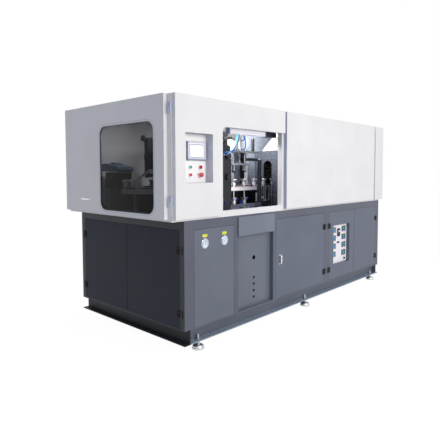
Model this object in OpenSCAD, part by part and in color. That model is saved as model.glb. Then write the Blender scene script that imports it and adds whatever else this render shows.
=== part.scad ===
// Linear stretch blow moulding machine: a plinth on levelling feet, a sheet metal base cabinet with
// doors, and a hood that closes over the mandrel chain, the clamp, the transfer station and the oven.
// Built from the left end of the base cabinet (x), its front plane (y) and the floor (z),
// then set so that the origin is the centre of the footprint, on the floor.

/* [Base cabinet] */
// Length of the base cabinet
base_l = 3510; // [3300:10:3800]
// Width of the base cabinet, front to back
base_w = 1560; // [1500:10:1700]
// Height of the base cabinet, without its plinth
base_h = 882; // [840:2:960]
// Sheet thickness of covers and doors
sheet_t = 2; // [1.5:0.5:3]
// Sheet thickness of the folded posts and rails
post_t = 3; // [2:0.5:4]
// Depth of the folded posts and rails
post_d = 48; // [40:2:60]
// Height of the top rail above the doors
top_rail = 66; // [50:2:90]
// Height of the bottom edge below the doors
bottom_rail = 8; // [6:1:20]
// Gap round a closed door
door_gap = 2.5; // [2:0.5:4]
// Depth of the folded edge of a base door
door_d = 22; // [18:1:30]
// Thickness of the deck that carries the mechanism
deck_t = 12; // [8:1:16]

/* [Base front] */
// Width of the left corner post
left_post = 103; // [90:1:120]
// Width of the gauge panel
gauge_panel_w = 476; // [440:2:520]
// Width of the post between gauge panel and service bay
bay_post = 53; // [40:1:60]
// Width of the service bay
bay_w = 516; // [460:2:560]
// Depth of the service bay
bay_d = 40; // [30:1:60]
// Width of the post between service bay and front door
door_post = 43; // [40:1:60]
// Width of the front door opening
front_door_w = 909; // [860:1:940]
// Width of the post between the front door and the cabinet doors
middle_post = 104; // [90:1:120]
// Width of the right corner post
right_post = 83; // [70:1:100]
// Width of the end corner posts, front to back
end_post = 55; // [50:1:70]
// Height of the service bay cover
bay_hood_h = 174; // [140:2:220]
// Distance of the front door handle from the door's free edge
handle_x = 62; // [45:1:90]
// Height of the front door handle above the base underside
handle_z = 395; // [340:1:460]
// How far the service bay cover stands out of the front
bay_hood_out = 13; // [8:1:30]

/* [Plinth and feet] */
// Height of the plinth underside above the floor
foot_h = 65; // [60:1:90]
// Height of the plinth channel
channel_h = 123; // [100:1:140]
// Flange width of the plinth channel
channel_flange = 54; // [40:1:65]
// Metal thickness of the plinth channel
channel_t = 8; // [6:0.5:10]
// Diameter of a levelling foot
foot_dia = 103; // [80:1:140]
// Thread diameter of a levelling foot
foot_thread = 16; // [12:1:20]
// Distance of the end feet from the cabinet ends
foot_inset = 170; // [120:5:260]
// Distance of the feet from the front and back
foot_edge = 30; // [26:1:34]

/* [Hood] */
// Height of the hood frame
hood_h = 973; // [900:1:1050]
// How far the hood overhangs the base at its left end
overhang = 120; // [80:5:160]
// Side of the square hood frame tube
tube = 50; // [40:2:60]
// Depth of the folded cover trays
tray_d = 38; // [30:1:44]
// Height of the frame edge that shows under the covers
cover_lift = 18; // [10:1:24]
// How far the covers stand above the frame
cover_rise = 7; // [0:1:12]
// Gap between the left corner and the operator panel
corner_gap = 8; // [5:0.5:12]
// Length of the operator panel
operator_l = 1399; // [1300:1:1450]
// Gap between two front covers
cover_gap = 28; // [20:1:40]
// Length of the right corner cover
corner_cover_l = 231; // [180:1:280]
// Gap beside the right corner cover
corner_cover_gap = 38; // [24:1:44]
// Distance of the working opening from the operator panel's left edge
opening_x = 512; // [460:1:560]
// Height of the panel band above the working opening
opening_band = 217; // [160:1:260]
// Corner radius of the working opening
opening_r = 48; // [20:1:80]

/* [Window door] */
// Distance of the window door from the frame corner at its hinge side
window_door_edge = 43; // [40:1:60]
// Width of the window
window_w = 757; // [600:1:900]
// Height of the window
window_h = 726; // [600:1:760]
// Corner radius of the window
window_r = 75; // [40:1:110]
// Distance of the window from the frame corner
window_y = 176; // [140:1:220]
// Height of the window above the hood's lower edge
window_z = 53; // [40:1:90]
// Thickness of the window pane
pane_t = 5; // [4:0.5:8]
// Width of the window seal
seal_w = 14; // [10:1:24]
// Length of a weld-on hinge barrel, both halves
barrel_h = 83; // [60:1:120]
// Diameter of a weld-on hinge barrel
barrel_dia = 13; // [11:0.5:13.5]
// Distance of the door pull behind the window
pull_y = 233; // [150:1:260]
// Height of the door pull above the hood's lower edge
pull_z = 136; // [100:1:180]
// Length of the door pull
pull_w = 128; // [100:2:180]
// How far the door pull stands out
pull_out = 35; // [28:1:45]
// Bar diameter of the door pull
pull_dia = 10; // [8:0.5:14]

/* [Control box] */
// Distance of the control box from the operator panel's left edge
control_x = 100; // [80:1:130]
// Height of the control box above the hood's lower edge
control_z = 298; // [260:1:340]
// Width of the control box
control_w = 297; // [260:1:340]
// Height of the control box
control_h = 393; // [360:1:420]
// Depth of the control box
control_d = 81; // [60:1:110]
// Width of the touch screen
screen_w = 200; // [180:1:210]
// Height of the touch screen
screen_h = 150; // [130:1:160]
// How far the touch screen stands off its plate
screen_out = 18; // [10:1:24]
// Distance of the touch screen's centre right of the control box's centre
screen_dx = 29.5; // [20:0.5:36]
// Distance of the touch screen below the control box's top
screen_drop = 62; // [50:1:70]
// Distance between the two columns of switches
switch_dx = 109; // [90:1:130]
// Distance between the two rows of switches
switch_dz = 62; // [55:1:70]
// Distance of the switch columns' middle right of the control box's centre
switch_dx0 = 20; // [10:1:30]
// Height of the lower switches above the control box's underside
switch_dz0 = 64; // [50:1:70]
// Bore of a switch collar
switch_bore = 19; // [17:0.5:20]
// Radial play of a switch in its collar
switch_play = 0.08; // [0.05:0.01:0.1]
// Travel of a push button
button_travel = 3; // [2:0.5:4]

/* [Gauges and heater panel] */
// Diameter of a gauge flange
gauge_flange = 81; // [70:1:90]
// Diameter of a gauge case
gauge_case = 60; // [50:1:64]
// Distance between the two gauges
gauge_dx = 232; // [160:2:300]
// Height of the gauges above the base underside
gauge_z = 680; // [600:5:720]
// Distance of the heater panel recess from the door's hinge line
heater_left = 103; // [80:1:130]
// Height of the heater panel recess above the base underside
heater_low = 170; // [140:1:200]
// Width of the heater panel recess in the left cabinet door
heater_w = 388; // [340:2:420]
// Height of the heater panel recess
heater_h = 468; // [430:2:520]
// Depth of the heater panel recess
heater_d = 43; // [30:1:60]
// Width of a heater controller
controller_w = 84; // [70:1:90]
// Height of a heater controller
controller_h = 64; // [56:1:72]
// Distance between heater controllers, one above another
controller_pitch = 97; // [90:1:104]
// Distance of the controllers' middle from the recess's side
controller_side = 76; // [60:1:90]
// Distance of the top controllers' middle from the recess's top
controller_drop = 66; // [50:1:80]
// Side of a black cabinet hinge
hinge_side = 62; // [50:1:70]
// Thickness of a cabinet hinge leaf
hinge_t = 4; // [3:0.5:5]
// Pin diameter of a cabinet hinge
hinge_pin = 5; // [4:0.5:6]
// Height of the lower cabinet hinges above the base underside
hinge_low = 130; // [100:5:180]
// Height of the upper cabinet hinges above the base underside
hinge_high = 643; // [580:1:700]
// Diameter of the large cable hole in the service bay
cable_hole = 38; // [30:1:50]
// Diameter of the small cable holes in the service bay
cable_hole_small = 22; // [16:1:28]

/* [Mandrel chain] */
// Distance of the front chain run from the base front
run_y = 570; // [540:2:600]
// Distance between two mandrels on the chain
mandrel_pitch = 168; // [160:0.5:170]
// Pockets of a chain wheel
wheel_pockets = 9; // [8:1:9]
// Length of a straight chain run, in half pitches
run_halves = 33; // [31:2:33]
// Distance of the left chain wheel from the left end
wheel_x = 300; // [290:1:320]
// Distance of the first mandrel from the left chain wheel
first_mandrel = 57; // [50:1:64]
// Height of the rail top above the deck
rail_z = 224; // [200:1:250]
// Height of the rail
rail_h = 38; // [30:1:50]
// Width of the rail
rail_w = 60; // [46:1:80]
// Height of a mandrel above the chain
mandrel_h = 88; // [60:1:92]
// Diameter of a mandrel collar
mandrel_dia = 76; // [50:1:90]

/* [Transfer station] */
// Length of the cylinder plate
station_l = 429; // [400:1:460]
// Height of the cylinder plate underside above the deck
station_z = 589; // [560:1:620]
// Thickness of the station's plates
station_t = 20; // [14:1:25]
// Distance of the first nozzle from the cylinder plate's left end
nozzle_x = 88; // [80:1:100]
// Travel of the nozzle plate
nozzle_travel = 60; // [30:1:64]
// Guide rod diameter of the nozzle plate
guide_rod = 16; // [12:1:20]
// Distance of the left profile post from the cylinder plate's left end
post_left = 184; // [170:1:190]
// Distance of the right profile post from the cylinder plate's left end
post_right = 291; // [286:1:310]
// Distance of the profile posts in front of the chain
post_front = 190; // [180:1:200]
// Side of the aluminium profile posts
profile = 30; // [25:1:40]
// Height of the profile posts above the deck
profile_h = 515; // [480:1:560]
// Length of the arm behind the right profile post
arm_l = 160; // [120:5:200]
// Length of the work lamp
lamp_l = 520; // [480:5:560]
// Length of the work lamp's ballast box
lamp_box_l = 150; // [120:5:200]

/* [Clamp] */
// Length of the clamp plates
clamp_l = 488; // [480:2:500]
// Height of the clamp plates
clamp_h = 640; // [600:5:700]
// Height of a mould half
mould_h = 240; // [200:5:260]
// Thickness of a clamp plate
clamp_t = 50; // [40:1:60]
// Thickness of a mould half
mould_t = 70; // [50:1:74]
// Opening stroke of each mould half
clamp_stroke = 60; // [40:1:66]
// Diameter of a tie bar
tie_bar = 40; // [30:1:50]
// Diameter of a clamp ram
ram_dia = 60; // [50:1:70]
// Diameter of a bottle cavity
cavity_dia = 70; // [50:1:80]

/* [Oven] */
// Distance of the oven's left end from the base's left end
oven_x = 1780; // [1760:5:1840]
// Length of the oven
oven_l = 1030; // [900:10:1040]
// Height of the oven
oven_h = 628; // [560:2:680]
// Depth of the oven, front to back
oven_w = 400; // [380:5:420]
// Width of the preform arch
arch_w = 112; // [100:1:130]
// Height of the preform arch above the rail
arch_h = 288; // [260:1:320]
// Number of lamp tubes one above another
lamps = 6; // [4:1:7]
// Diameter of a lamp tube
lamp_dia = 14; // [10:1:18]
// Width of a guard sheet at the oven's left
guard_w = 125; // [100:5:140]
// Gap between the two guard sheets
guard_gap = 112; // [90:2:130]
// Height of the guard sheets
guard_h = 588; // [400:4:620]
// Distance of the guard sheets behind the chain
guard_back = 185; // [150:5:200]

/* [Hidden] */
$fn = 48;

WHITE = [0.9, 0.9, 0.91];
SLATE = [0.36, 0.38, 0.43];
DARK = [0.27, 0.28, 0.32];
STEEL = [0.72, 0.74, 0.76];
BLACK = [0.08, 0.08, 0.09];
PLAY = 0.3;

base_z = foot_h + channel_h;
base_top = base_z + base_h;
frame_top = base_top + hood_h;
cover_z = base_top + cover_lift;
cover_h = hood_h - cover_lift + cover_rise;
x_mid = (base_l - overhang - pull_out) / 2;
y_mid = base_w / 2;

door_z = base_z + bottom_rail;
door_h = base_h - deck_t - top_rail - bottom_rail;
gauge_x = left_post;
bay_x = gauge_x + gauge_panel_w + bay_post;
front_door_x = bay_x + bay_w + door_post;
cabinet_x = front_door_x + front_door_w + middle_post;
cabinet_w = base_l - right_post - cabinet_x;
end_w = base_w - 2 * end_post;
hinge_z = [hinge_low, hinge_high];
hinge_out = hinge_pin / 2 + 2 + PLAY;

panel_x = -overhang + corner_gap;
panel_x1 = panel_x + operator_l;
cover_x = panel_x1 + cover_gap;
corner_x = base_l + tray_d - corner_cover_l;
cover_l = corner_x - corner_cover_gap - cover_x;
jamb_x = panel_x1 - PLAY - 5.7;

deck_z = base_top;
rail_top = deck_z + rail_z;
wheel_r = wheel_pockets * mandrel_pitch / (2 * PI);
back_run_y = run_y + 2 * wheel_r;
run_l = run_halves / 2 * mandrel_pitch;
mandrels = run_halves + wheel_pockets;
chain_z = rail_top + PLAY;
plate_z = deck_z + station_z;
station_x = wheel_x + first_mandrel + 5 * mandrel_pitch - nozzle_x;
post_x = [station_x - post_left, station_x + post_right];
post_y = run_y - post_front;
clamp_x = wheel_x + first_mandrel + 1.5 * mandrel_pitch - clamp_l / 2;
mould_z = chain_z + mandrel_h + 6;

control_y = control_d - tray_d;
box_z = base_top + control_z;
control_cx = panel_x + control_x + control_w / 2;
screen_cx = control_cx + screen_dx;
screen_z = box_z + control_h - screen_h - screen_drop;
switch_z = box_z + switch_dz0;
switch_x = control_cx + switch_dx0 - switch_dx / 2;

// Straight folded tray, open to the back: its face lies at y = -d, its back edge at y = 0
module tray(w, h, d, t) {
    difference() {
        translate([0, -d, 0]) cube([w, d, h]);
        translate([t, -d + t, t]) cube([w - 2 * t, d, h - 2 * t]);
    }
}

// The same tray as a cover of the left end, with its face at x = -d
module end_tray(w, h, d, t) {
    translate([0, w, 0]) rotate([0, 0, -90]) tray(w, h, d, t);
}

// Rectangle with round corners, drawn from its lower left corner
module round_rect(w, h, r) {
    translate([r, 0]) square([w - 2 * r, h]);
    translate([0, r]) square([w, h - 2 * r]);
    for (x = [r, w - r], y = [r, h - r]) translate([x, y]) circle(r = r);
}

// Stands a flat outline up in the x-z plane, t thick towards the back
module upright(t) {
    translate([0, t, 0]) rotate([90, 0, 0]) linear_extrude(t) children();
}

// Folded channel post, open to the back
module channel_post(w, h) {
    difference() {
        cube([w, post_d, h]);
        translate([post_t, post_t, -1]) cube([w - 2 * post_t, post_d, h + 2]);
    }
}

// Folded corner post: a face on each side and a lip along each free edge
module corner_post(wx, wy, h) {
    linear_extrude(h) {
        square([wx, post_t]);
        square([post_t, wy]);
        translate([wx - post_t, 0]) square([post_t, post_d]);
        translate([0, wy - post_t]) square([post_d, post_t]);
    }
}

// Square tube without a bore, laid along x, y or z
module bar(length, side, axis) {
    cube([axis == "x" ? length : side, axis == "y" ? length : side, axis == "z" ? length : side]);
}

// Plinth: rolled channels with their flanges outwards, two of them across the ends
module channel(length) {
    difference() {
        cube([length, channel_flange + channel_t, channel_h]);
        translate([-1, -1, channel_t]) cube([length + 2, channel_flange + 1, channel_h - 2 * channel_t]);
    }
}

module foot_places() {
    for (x = [foot_inset, base_l / 2, base_l - foot_inset], y = [foot_edge, base_w - foot_edge])
        translate([x, y, 0]) children();
}

module plinth() {
    side = channel_flange + channel_t;
    color(DARK) difference() {
        translate([0, 0, foot_h]) {
            translate([side, 0, 0]) channel(base_l - 2 * side);
            translate([side, base_w, 0]) mirror([0, 1, 0]) channel(base_l - 2 * side);
            translate([0, base_w, 0]) rotate([0, 0, -90]) channel(base_w);
            translate([base_l, 0, 0]) rotate([0, 0, 90]) channel(base_w);
            for (x = [base_l / 3, base_l * 2 / 3]) translate([x, side, 0])
                cube([side, base_w - 2 * side, channel_h]);
        }
        foot_places() translate([0, 0, foot_h - 1]) cylinder(d = foot_thread + 2, h = channel_t + 2);
    }
}

// Levelling feet: a rubber sole with a domed steel cap, and a threaded stem locked by two nuts
foot_boss_z = foot_h - 20;

module foot_pads() {
    r = foot_dia / 2;
    color(STEEL) foot_places() rotate_extrude() polygon([
        [0, 0], [r, 0], [r, 12], [r - 3, 15], [r - 6, 26], [r - 16, 33], [r - 32, 37],
        [foot_thread, foot_boss_z - 3], [foot_thread - 3, foot_boss_z], [0, foot_boss_z]]);
}

module foot_bolts() {
    nut_h = foot_thread * 0.8;
    color(STEEL) foot_places() {
        translate([0, 0, foot_boss_z])
            cylinder(d = foot_thread, h = foot_h - foot_boss_z + channel_h * 0.46);
        translate([0, 0, foot_h - nut_h]) cylinder(d = foot_thread * 1.7, h = nut_h, $fn = 6);
        translate([0, 0, foot_h + channel_t]) cylinder(d = foot_thread * 1.7, h = nut_h, $fn = 6);
    }
}

// Base frame: a floor pan and a top rail, with folded posts between them that leave room for the doors
post_z = base_z + bottom_rail;
rail_at = base_top - deck_t - top_rail;

module base_frame() {
    color(DARK) {
        translate([0, 0, base_z]) difference() {
            cube([base_l, base_w, bottom_rail]);
            translate([post_t, post_t, post_t])
                cube([base_l - 2 * post_t, base_w - 2 * post_t, bottom_rail]);
        }
        translate([0, 0, rail_at]) difference() {
            cube([base_l, base_w, top_rail]);
            translate([post_t, post_t, -1])
                cube([base_l - 2 * post_t, base_w - 2 * post_t, top_rail - post_t + 1]);
            translate([post_d, post_d, -1])
                cube([base_l - 2 * post_d, base_w - 2 * post_d, top_rail + 2]);
        }
    }
}

module base_posts() {
    h = rail_at - post_z;
    color(DARK) translate([0, 0, post_z]) {
        corner_post(left_post, end_post, h);
        translate([0, base_w, 0]) mirror([0, 1, 0]) corner_post(left_post, end_post, h);
        translate([base_l, 0, 0]) mirror([1, 0, 0]) corner_post(right_post, end_post, h);
        translate([base_l, base_w, 0]) rotate([0, 0, 180]) corner_post(right_post, end_post, h);
        translate([bay_x - bay_post, 0, 0]) channel_post(bay_post, h);
        translate([front_door_x - door_post, 0, 0]) channel_post(door_post, h);
        translate([cabinet_x - middle_post, 0, 0]) channel_post(middle_post, h);
        for (i = [1, 2]) translate([base_l * i / 3 + post_d, base_w, 0]) rotate([0, 0, 180])
            channel_post(2 * post_d, h);
    }
}

// Leaf of the base, flush with the posts: a tray in an opening w wide and h high, low mm above its sill
module flush_panel(w, h, low = door_gap) {
    translate([door_gap, door_d, low]) tray(w - 2 * door_gap, h - door_gap - low, door_d, sheet_t);
}

module gauge_places() {
    for (i = [-1, 1]) translate([gauge_x + gauge_panel_w / 2 + i * gauge_dx / 2, 0, base_z + gauge_z])
        children();
}

module gauge_panel() {
    color(SLATE) difference() {
        translate([gauge_x, 0, door_z]) flush_panel(gauge_panel_w, door_h, PLAY);
        gauge_places() rotate([-90, 0, 0]) translate([0, 0, -1])
            cylinder(d = gauge_case + 1, h = sheet_t + 2);
    }
}

// Gauge: a case behind the panel, a flange with a pointed lug, a raised bezel and a sunk dial
module gauge_cases() {
    bezel_r = gauge_case / 2 + 3;
    color(STEEL) gauge_places() rotate([90, 0, 0]) {
        difference() {
            union() {
                cylinder(d = gauge_flange, h = 3);
                linear_extrude(3) translate([0, gauge_flange / 2])
                    polygon([[-14, -4], [14, -4], [0, 9]]);
                translate([0, 0, -sheet_t - 34]) cylinder(d = gauge_case, h = sheet_t + 35);
                cylinder(r1 = bezel_r + 2, r2 = bezel_r, h = 9);
            }
            translate([0, 0, 3]) cylinder(r = bezel_r - 4, h = 10);
        }
        cylinder(d = 3, h = 5);
    }
}

module gauge_needle(i) {
    l = gauge_case / 2 - 5;
    color(BLACK) translate([gauge_x + gauge_panel_w / 2 + i * gauge_dx / 2, -4, base_z + gauge_z])
    rotate([90, i > 0 ? 40 : 20, 0]) difference() {
        linear_extrude(1) {
            circle(r = 4);
            polygon([[-1.6, -8], [1.6, -8], [0.5, l], [-0.5, l]]);
        }
        translate([0, 0, -1]) cylinder(d = 3.1, h = 3);
    }
}

// Service bay: a recessed panel with cable holes, under a folded cover
module bay_panel() {
    hole_x = bay_w / 2 + 9;
    color(SLATE) translate([bay_x, 0, base_z + bottom_rail]) difference() {
        translate([PLAY, 0, 0]) cube([bay_w - 2 * PLAY, bay_d + sheet_t, door_h]);
        translate([PLAY + sheet_t, -1, sheet_t]) cube([bay_w - 2 * PLAY - 2 * sheet_t, bay_d + 1, door_h]);
        translate([hole_x, bay_d - 1, 455]) rotate([-90, 0, 0]) cylinder(d = cable_hole, h = sheet_t + 2);
        for (i = [0:3]) translate([hole_x, bay_d - 1, 79 + i * 62.5]) rotate([-90, 0, 0])
            cylinder(d = cable_hole_small, h = sheet_t + 2);
    }
}

module bay_hood() {
    w = bay_w + 8;
    lip = 9;
    color(STEEL) translate([bay_x - 4, 0, base_top - deck_t - 4 - bay_hood_h]) {
        tray(w, bay_hood_h, bay_hood_out, sheet_t);
        translate([18, -bay_hood_out - lip, 0]) cube([w - 70, lip + sheet_t, sheet_t]);
    }
}

// Panels of the base that nothing opens: three at the rear and one with louvres at the right end
module fixed_panels() {
    bay = base_l / 3;
    color(SLATE) {
        for (i = [0:2]) {
            x0 = i == 0 ? left_post : bay * i + post_d;
            x1 = i == 2 ? base_l - right_post : bay * (i + 1) - post_d;
            translate([x1, base_w, door_z]) rotate([0, 0, 180]) flush_panel(x1 - x0, door_h, PLAY);
        }
        louvred_panel();
    }
}

module louvred_panel() {
    louvre_w = 240;
    translate([base_l, end_post, door_z]) rotate([0, 0, 90]) difference() {
        flush_panel(end_w, door_h, PLAY);
        for (x = [end_w * 0.28, end_w * 0.72], i = [0:9])
            translate([x - louvre_w / 2, -1, door_h * 0.62 + i * 18]) cube([louvre_w, sheet_t + 2, 5]);
    }
}

// Deck: the plate that closes the base and carries the mechanism and the hood
module deck_plate() {
    color(DARK) translate([0, 0, base_top - deck_t]) difference() {
        cube([base_l, base_w, deck_t]);
        for (x = [wheel_x, wheel_x + run_l])
            translate([x, run_y + wheel_r, -1]) cylinder(d = 70, h = deck_t + 2);
    }
}

// Black cabinet hinge: its fixed half holds the pin, its door half turns on it; x = 0 is the hinge line
module hinge_half(side, fixed) {
    knuckle = hinge_side / 3;
    in = fixed ? 0 : 1;
    leaf_x = hinge_out;
    spans = fixed ? [[0, knuckle], [2 * knuckle, knuckle]] : [[knuckle + PLAY, knuckle - 2 * PLAY]];
    translate([0, -hinge_out, 0]) difference() {
        union() {
            translate([side > 0 ? leaf_x : -hinge_side / 2, hinge_out - hinge_t, 0])
                cube([hinge_side / 2 - leaf_x, hinge_t + in, hinge_side]);
            for (s = spans) translate([0, 0, s[0]]) {
                cylinder(d = hinge_pin + 4, h = s[1]);
                translate([side > 0 ? 0 : -leaf_x - 1, hinge_out - hinge_t, 0])
                    cube([leaf_x + 1, hinge_t - PLAY, s[1]]);
            }
            if (fixed) cylinder(d = hinge_pin, h = hinge_side);
        }
        if (!fixed) translate([0, 0, -1]) cylinder(d = hinge_pin + 0.1, h = hinge_side + 2);
    }
}

// Puts the two hinges of a door at its hinge line x, on the front
module on_front(x) {
    for (z = hinge_z) translate([x, 0, base_z + z - hinge_side / 2]) children();
}

// The same at y on the left end of the base
module on_end(y) {
    for (z = hinge_z) translate([0, y, base_z + z - hinge_side / 2]) rotate([0, 0, -90]) children();
}

module base_hinges() {
    color(BLACK) {
        on_front(front_door_x + front_door_w) hinge_half(1, true);
        on_front(cabinet_x) hinge_half(-1, true);
        on_front(cabinet_x + cabinet_w) hinge_half(1, true);
        on_end(end_post) hinge_half(1, true);
        on_end(base_w - end_post) hinge_half(-1, true);
    }
}

// Hood frame of square tube: two rings, corner posts, a jamb beside the opening and seam posts
module hood_frame() {
    w = base_l + overhang;
    seam_x = corner_x - corner_cover_gap / 2 - tube / 2;
    color(WHITE) translate([0, 0, base_top]) {
        for (z = [0, hood_h - tube]) {
            for (y = [0, base_w - tube]) translate([-overhang, y, z]) bar(w, tube, "x");
            for (x = [-overhang, base_l - tube]) translate([x, 0, z]) bar(base_w, tube, "y");
        }
        for (x = [-overhang, jamb_x, seam_x, base_l - tube]) translate([x, 0, 0]) bar(hood_h, tube, "z");
        for (x = [-overhang, base_l / 3, base_l * 2 / 3, base_l - tube])
            translate([x, base_w - tube, 0]) bar(hood_h, tube, "z");
    }
}

// Outline of the working opening in the operator panel, grown by e on its closed sides
module opening_outline(e) {
    r = opening_r + e;
    translate([opening_x - e + r, -60]) square([operator_l, cover_h - opening_band + e + 60]);
    translate([opening_x - e, -60]) square([operator_l, cover_h - opening_band + e + 60 - r]);
    translate([opening_x - e + r, cover_h - opening_band + e - r]) circle(r = r);
}

// Outline of the operator panel, shrunk by e
module operator_outline(e) {
    difference() {
        translate([e, e]) square([operator_l - 2 * e, cover_h - 2 * e]);
        opening_outline(e);
    }
}

// Operator panel: an L-shaped tray round the working opening, cut out for the control box
module operator_panel() {
    color(WHITE) translate([panel_x, -tray_d, cover_z]) difference() {
        upright(tray_d) operator_outline(0);
        translate([0, sheet_t, 0]) upright(tray_d) operator_outline(sheet_t);
        translate([control_x, -1, box_z - cover_z]) cube([control_w, sheet_t + 2, control_h]);
    }
}

// Control box: a folded box behind the panel, with a rim against it and holes for screen and switches
module control_box() {
    t = sheet_t;
    color(WHITE) difference() {
        translate([panel_x + control_x, -tray_d + t, box_z]) difference() {
            union() {
                translate([-t, 0, -t]) cube([control_w + 2 * t, control_d, control_h + 2 * t]);
                translate([-14, 0, -14]) cube([control_w + 28, t, control_h + 28]);
            }
            translate([0, -1, 0]) cube([control_w, control_d - t + 1, control_h]);
        }
        translate([screen_cx - screen_w / 2 + 6, 0, screen_z + 6])
            cube([screen_w - 12, control_d, screen_h - 12]);
        switch_places() cylinder(d = switch_bore + 3.5, h = 20, center = true);
    }
}

// Fixed covers of the hood
module front_cover() {
    color(WHITE) translate([cover_x, 0, cover_z]) tray(cover_l, cover_h, tray_d, sheet_t);
}

module corner_cover() {
    color(WHITE) translate([corner_x, 0, cover_z]) tray(corner_cover_l, cover_h, tray_d, sheet_t);
}

module plain_covers() {
    w = (base_l + overhang) / 3;
    color(WHITE) {
        for (i = [0:2]) {
            past_end = i == 0 ? tray_d : 0;
            gap = i == 2 ? corner_gap : cover_gap / 2;
            translate([base_l + past_end - i * w, base_w, cover_z]) rotate([0, 0, 180])
                tray(w - gap + past_end, cover_h, tray_d, sheet_t);
        }
        translate([base_l, PLAY, cover_z]) rotate([0, 0, 90])
            tray(base_w - 2 * PLAY, cover_h, tray_d, sheet_t);
    }
}

module roof() {
    color(WHITE) translate([-overhang, 0, frame_top]) difference() {
        cube([base_l + overhang, base_w, cover_rise - 2]);
        translate([60, 60, -1]) cube([base_l + overhang - 120, base_w - 120, cover_rise - 2 - sheet_t + 1]);
    }
}

// Touch screen: a bezel on the box's plate and a case through it
module touch_screen() {
    z0 = screen_z;
    color(DARK) translate([screen_cx - screen_w / 2, control_y - screen_out, z0]) difference() {
        union() {
            cube([screen_w, screen_out, screen_h]);
            translate([6.5, screen_out - 1, 6.5]) cube([screen_w - 13, 40, screen_h - 13]);
        }
        translate([12, -1, 14]) cube([screen_w - 24, 2, screen_h - 26]);
    }
}

// Places of the four switches, with z pointing out of the machine
module switch_place(i, j) {
    translate([switch_x + i * switch_dx, control_y, switch_z + j * switch_dz]) rotate([90, 0, 0]) children();
}

module switch_places() {
    for (i = [0, 1], j = [0, 1]) switch_place(i, j) children();
}

module switch_collars() {
    color(STEEL) switch_places() difference() {
        union() {
            cylinder(d = 30, h = 4);
            translate([0, 0, 4]) cylinder(d1 = 30, d2 = 26, h = 4);
            translate([0, 0, -26]) cylinder(d = switch_bore + 3, h = 27);
            translate([0, 0, -sheet_t - 5]) cylinder(d = 28, h = 5, $fn = 6);
        }
        translate([0, 0, -27]) cylinder(d = switch_bore, h = 40);
    }
}

// Push buttons and the turning switch: a stem that runs in the collar, and a head in front of it
module switch_stem() {
    translate([0, 0, -22]) cylinder(r = switch_bore / 2 - switch_play, h = 31 + button_travel);
}

module start_button() {
    color("seagreen") switch_place(0, 1) {
        switch_stem();
        translate([0, 0, 8.5 + button_travel]) cylinder(d = 24, h = 6);
    }
}

module stop_button() {
    color("firebrick") switch_place(0, 0) {
        switch_stem();
        translate([0, 0, 8.5 + button_travel]) cylinder(d = 24, h = 6);
    }
}

module selector_switch() {
    color(BLACK) switch_place(1, 1) {
        switch_stem();
        translate([0, 0, 8.5 + button_travel]) cylinder(d = 27, h = 7);
        translate([-4, -13, 8.5 + button_travel]) cube([8, 26, 17]);
    }
}

module emergency_stop() {
    color("firebrick") switch_place(1, 0) {
        switch_stem();
        translate([0, 0, 8.5 + button_travel]) rotate_extrude() polygon([
            [0, 0], [13, 0], [13, 6], [19, 9], [20, 13], [18, 18], [11, 21], [0, 22]]);
    }
}

// Weld-on hinges of the window door: the lower barrel on the corner post, with the pin
hinge_r = barrel_dia / 2;
hinge_at = [-overhang - hinge_r - 0.7, -1];
low_hinge_z = 162;
high_hinge_z = 872;
barrel_z = [base_top + low_hinge_z - barrel_h / 2, base_top + high_hinge_z - barrel_h / 2];

module corner_hinges() {
    half = barrel_h / 2;
    color(WHITE) for (z = barrel_z) translate([hinge_at[0], hinge_at[1], z]) {
        cylinder(d = barrel_dia, h = half - PLAY / 2);
        cylinder(d = barrel_dia / 2, h = barrel_h - 6);
        translate([0, 1, 0]) cube([-overhang - hinge_at[0], 4, half - PLAY / 2]);
    }
}

// Window door: a tray that swings on the corner hinges, with straps, a cut-out and its pull's feet
module end_upright(t) {
    rotate([90, 0, 90]) linear_extrude(t) children();
}

module window_outline(e) {
    translate([window_y - e, base_top + window_z - e])
        round_rect(window_w + 2 * e, window_h + 2 * e, window_r + e);
}

module window_door() {
    half = barrel_h / 2;
    x0 = -overhang - PLAY;
    strap = x0 - 2;
    color(WHITE) {
        difference() {
            translate([x0, window_door_edge, cover_z])
                end_tray(base_w - 4 - window_door_edge, cover_h, tray_d - PLAY, sheet_t);
            translate([-overhang - tray_d - 1, 0, 0]) end_upright(sheet_t + 2) window_outline(3);
        }
        for (z = barrel_z) translate([0, 0, z + half + PLAY / 2]) difference() {
            union() {
                translate([hinge_at[0], hinge_at[1], 0]) cylinder(d = barrel_dia, h = half - PLAY / 2);
                translate([strap, hinge_at[1], 0])
                    cube([1.7, window_door_edge - hinge_at[1] + 1, half - PLAY / 2]);
                translate([strap - 24, window_door_edge - 2, 0]) cube([25, 3, half - PLAY / 2]);
            }
            translate([hinge_at[0], hinge_at[1], -1]) cylinder(d = barrel_dia / 2 + 0.1, h = half - 5);
        }
    }
}

module window_pane() {
    color([0.2, 0.2, 0.21, 0.6]) translate([-overhang - tray_d + sheet_t + 6, 0, 0])
        end_upright(pane_t) window_outline(seal_w);
}

module window_seal() {
    x0 = -overhang - tray_d;
    color(BLACK) difference() {
        union() {
            translate([x0 + sheet_t, 0, 0]) end_upright(6) window_outline(seal_w);
            translate([x0 - 1, 0, 0]) end_upright(4) window_outline(2.8);
        }
        translate([x0 - 2, 0, 0]) end_upright(12) window_outline(0);
    }
}

module door_pull() {
    y = window_y + window_w + pull_y;
    color(STEEL) translate([-overhang - tray_d, y, base_top + pull_z]) rotate([0, -90, 0]) rotate([0, 0, 90])
        pull_shape(pull_w, pull_out, pull_dia);
}

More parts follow.
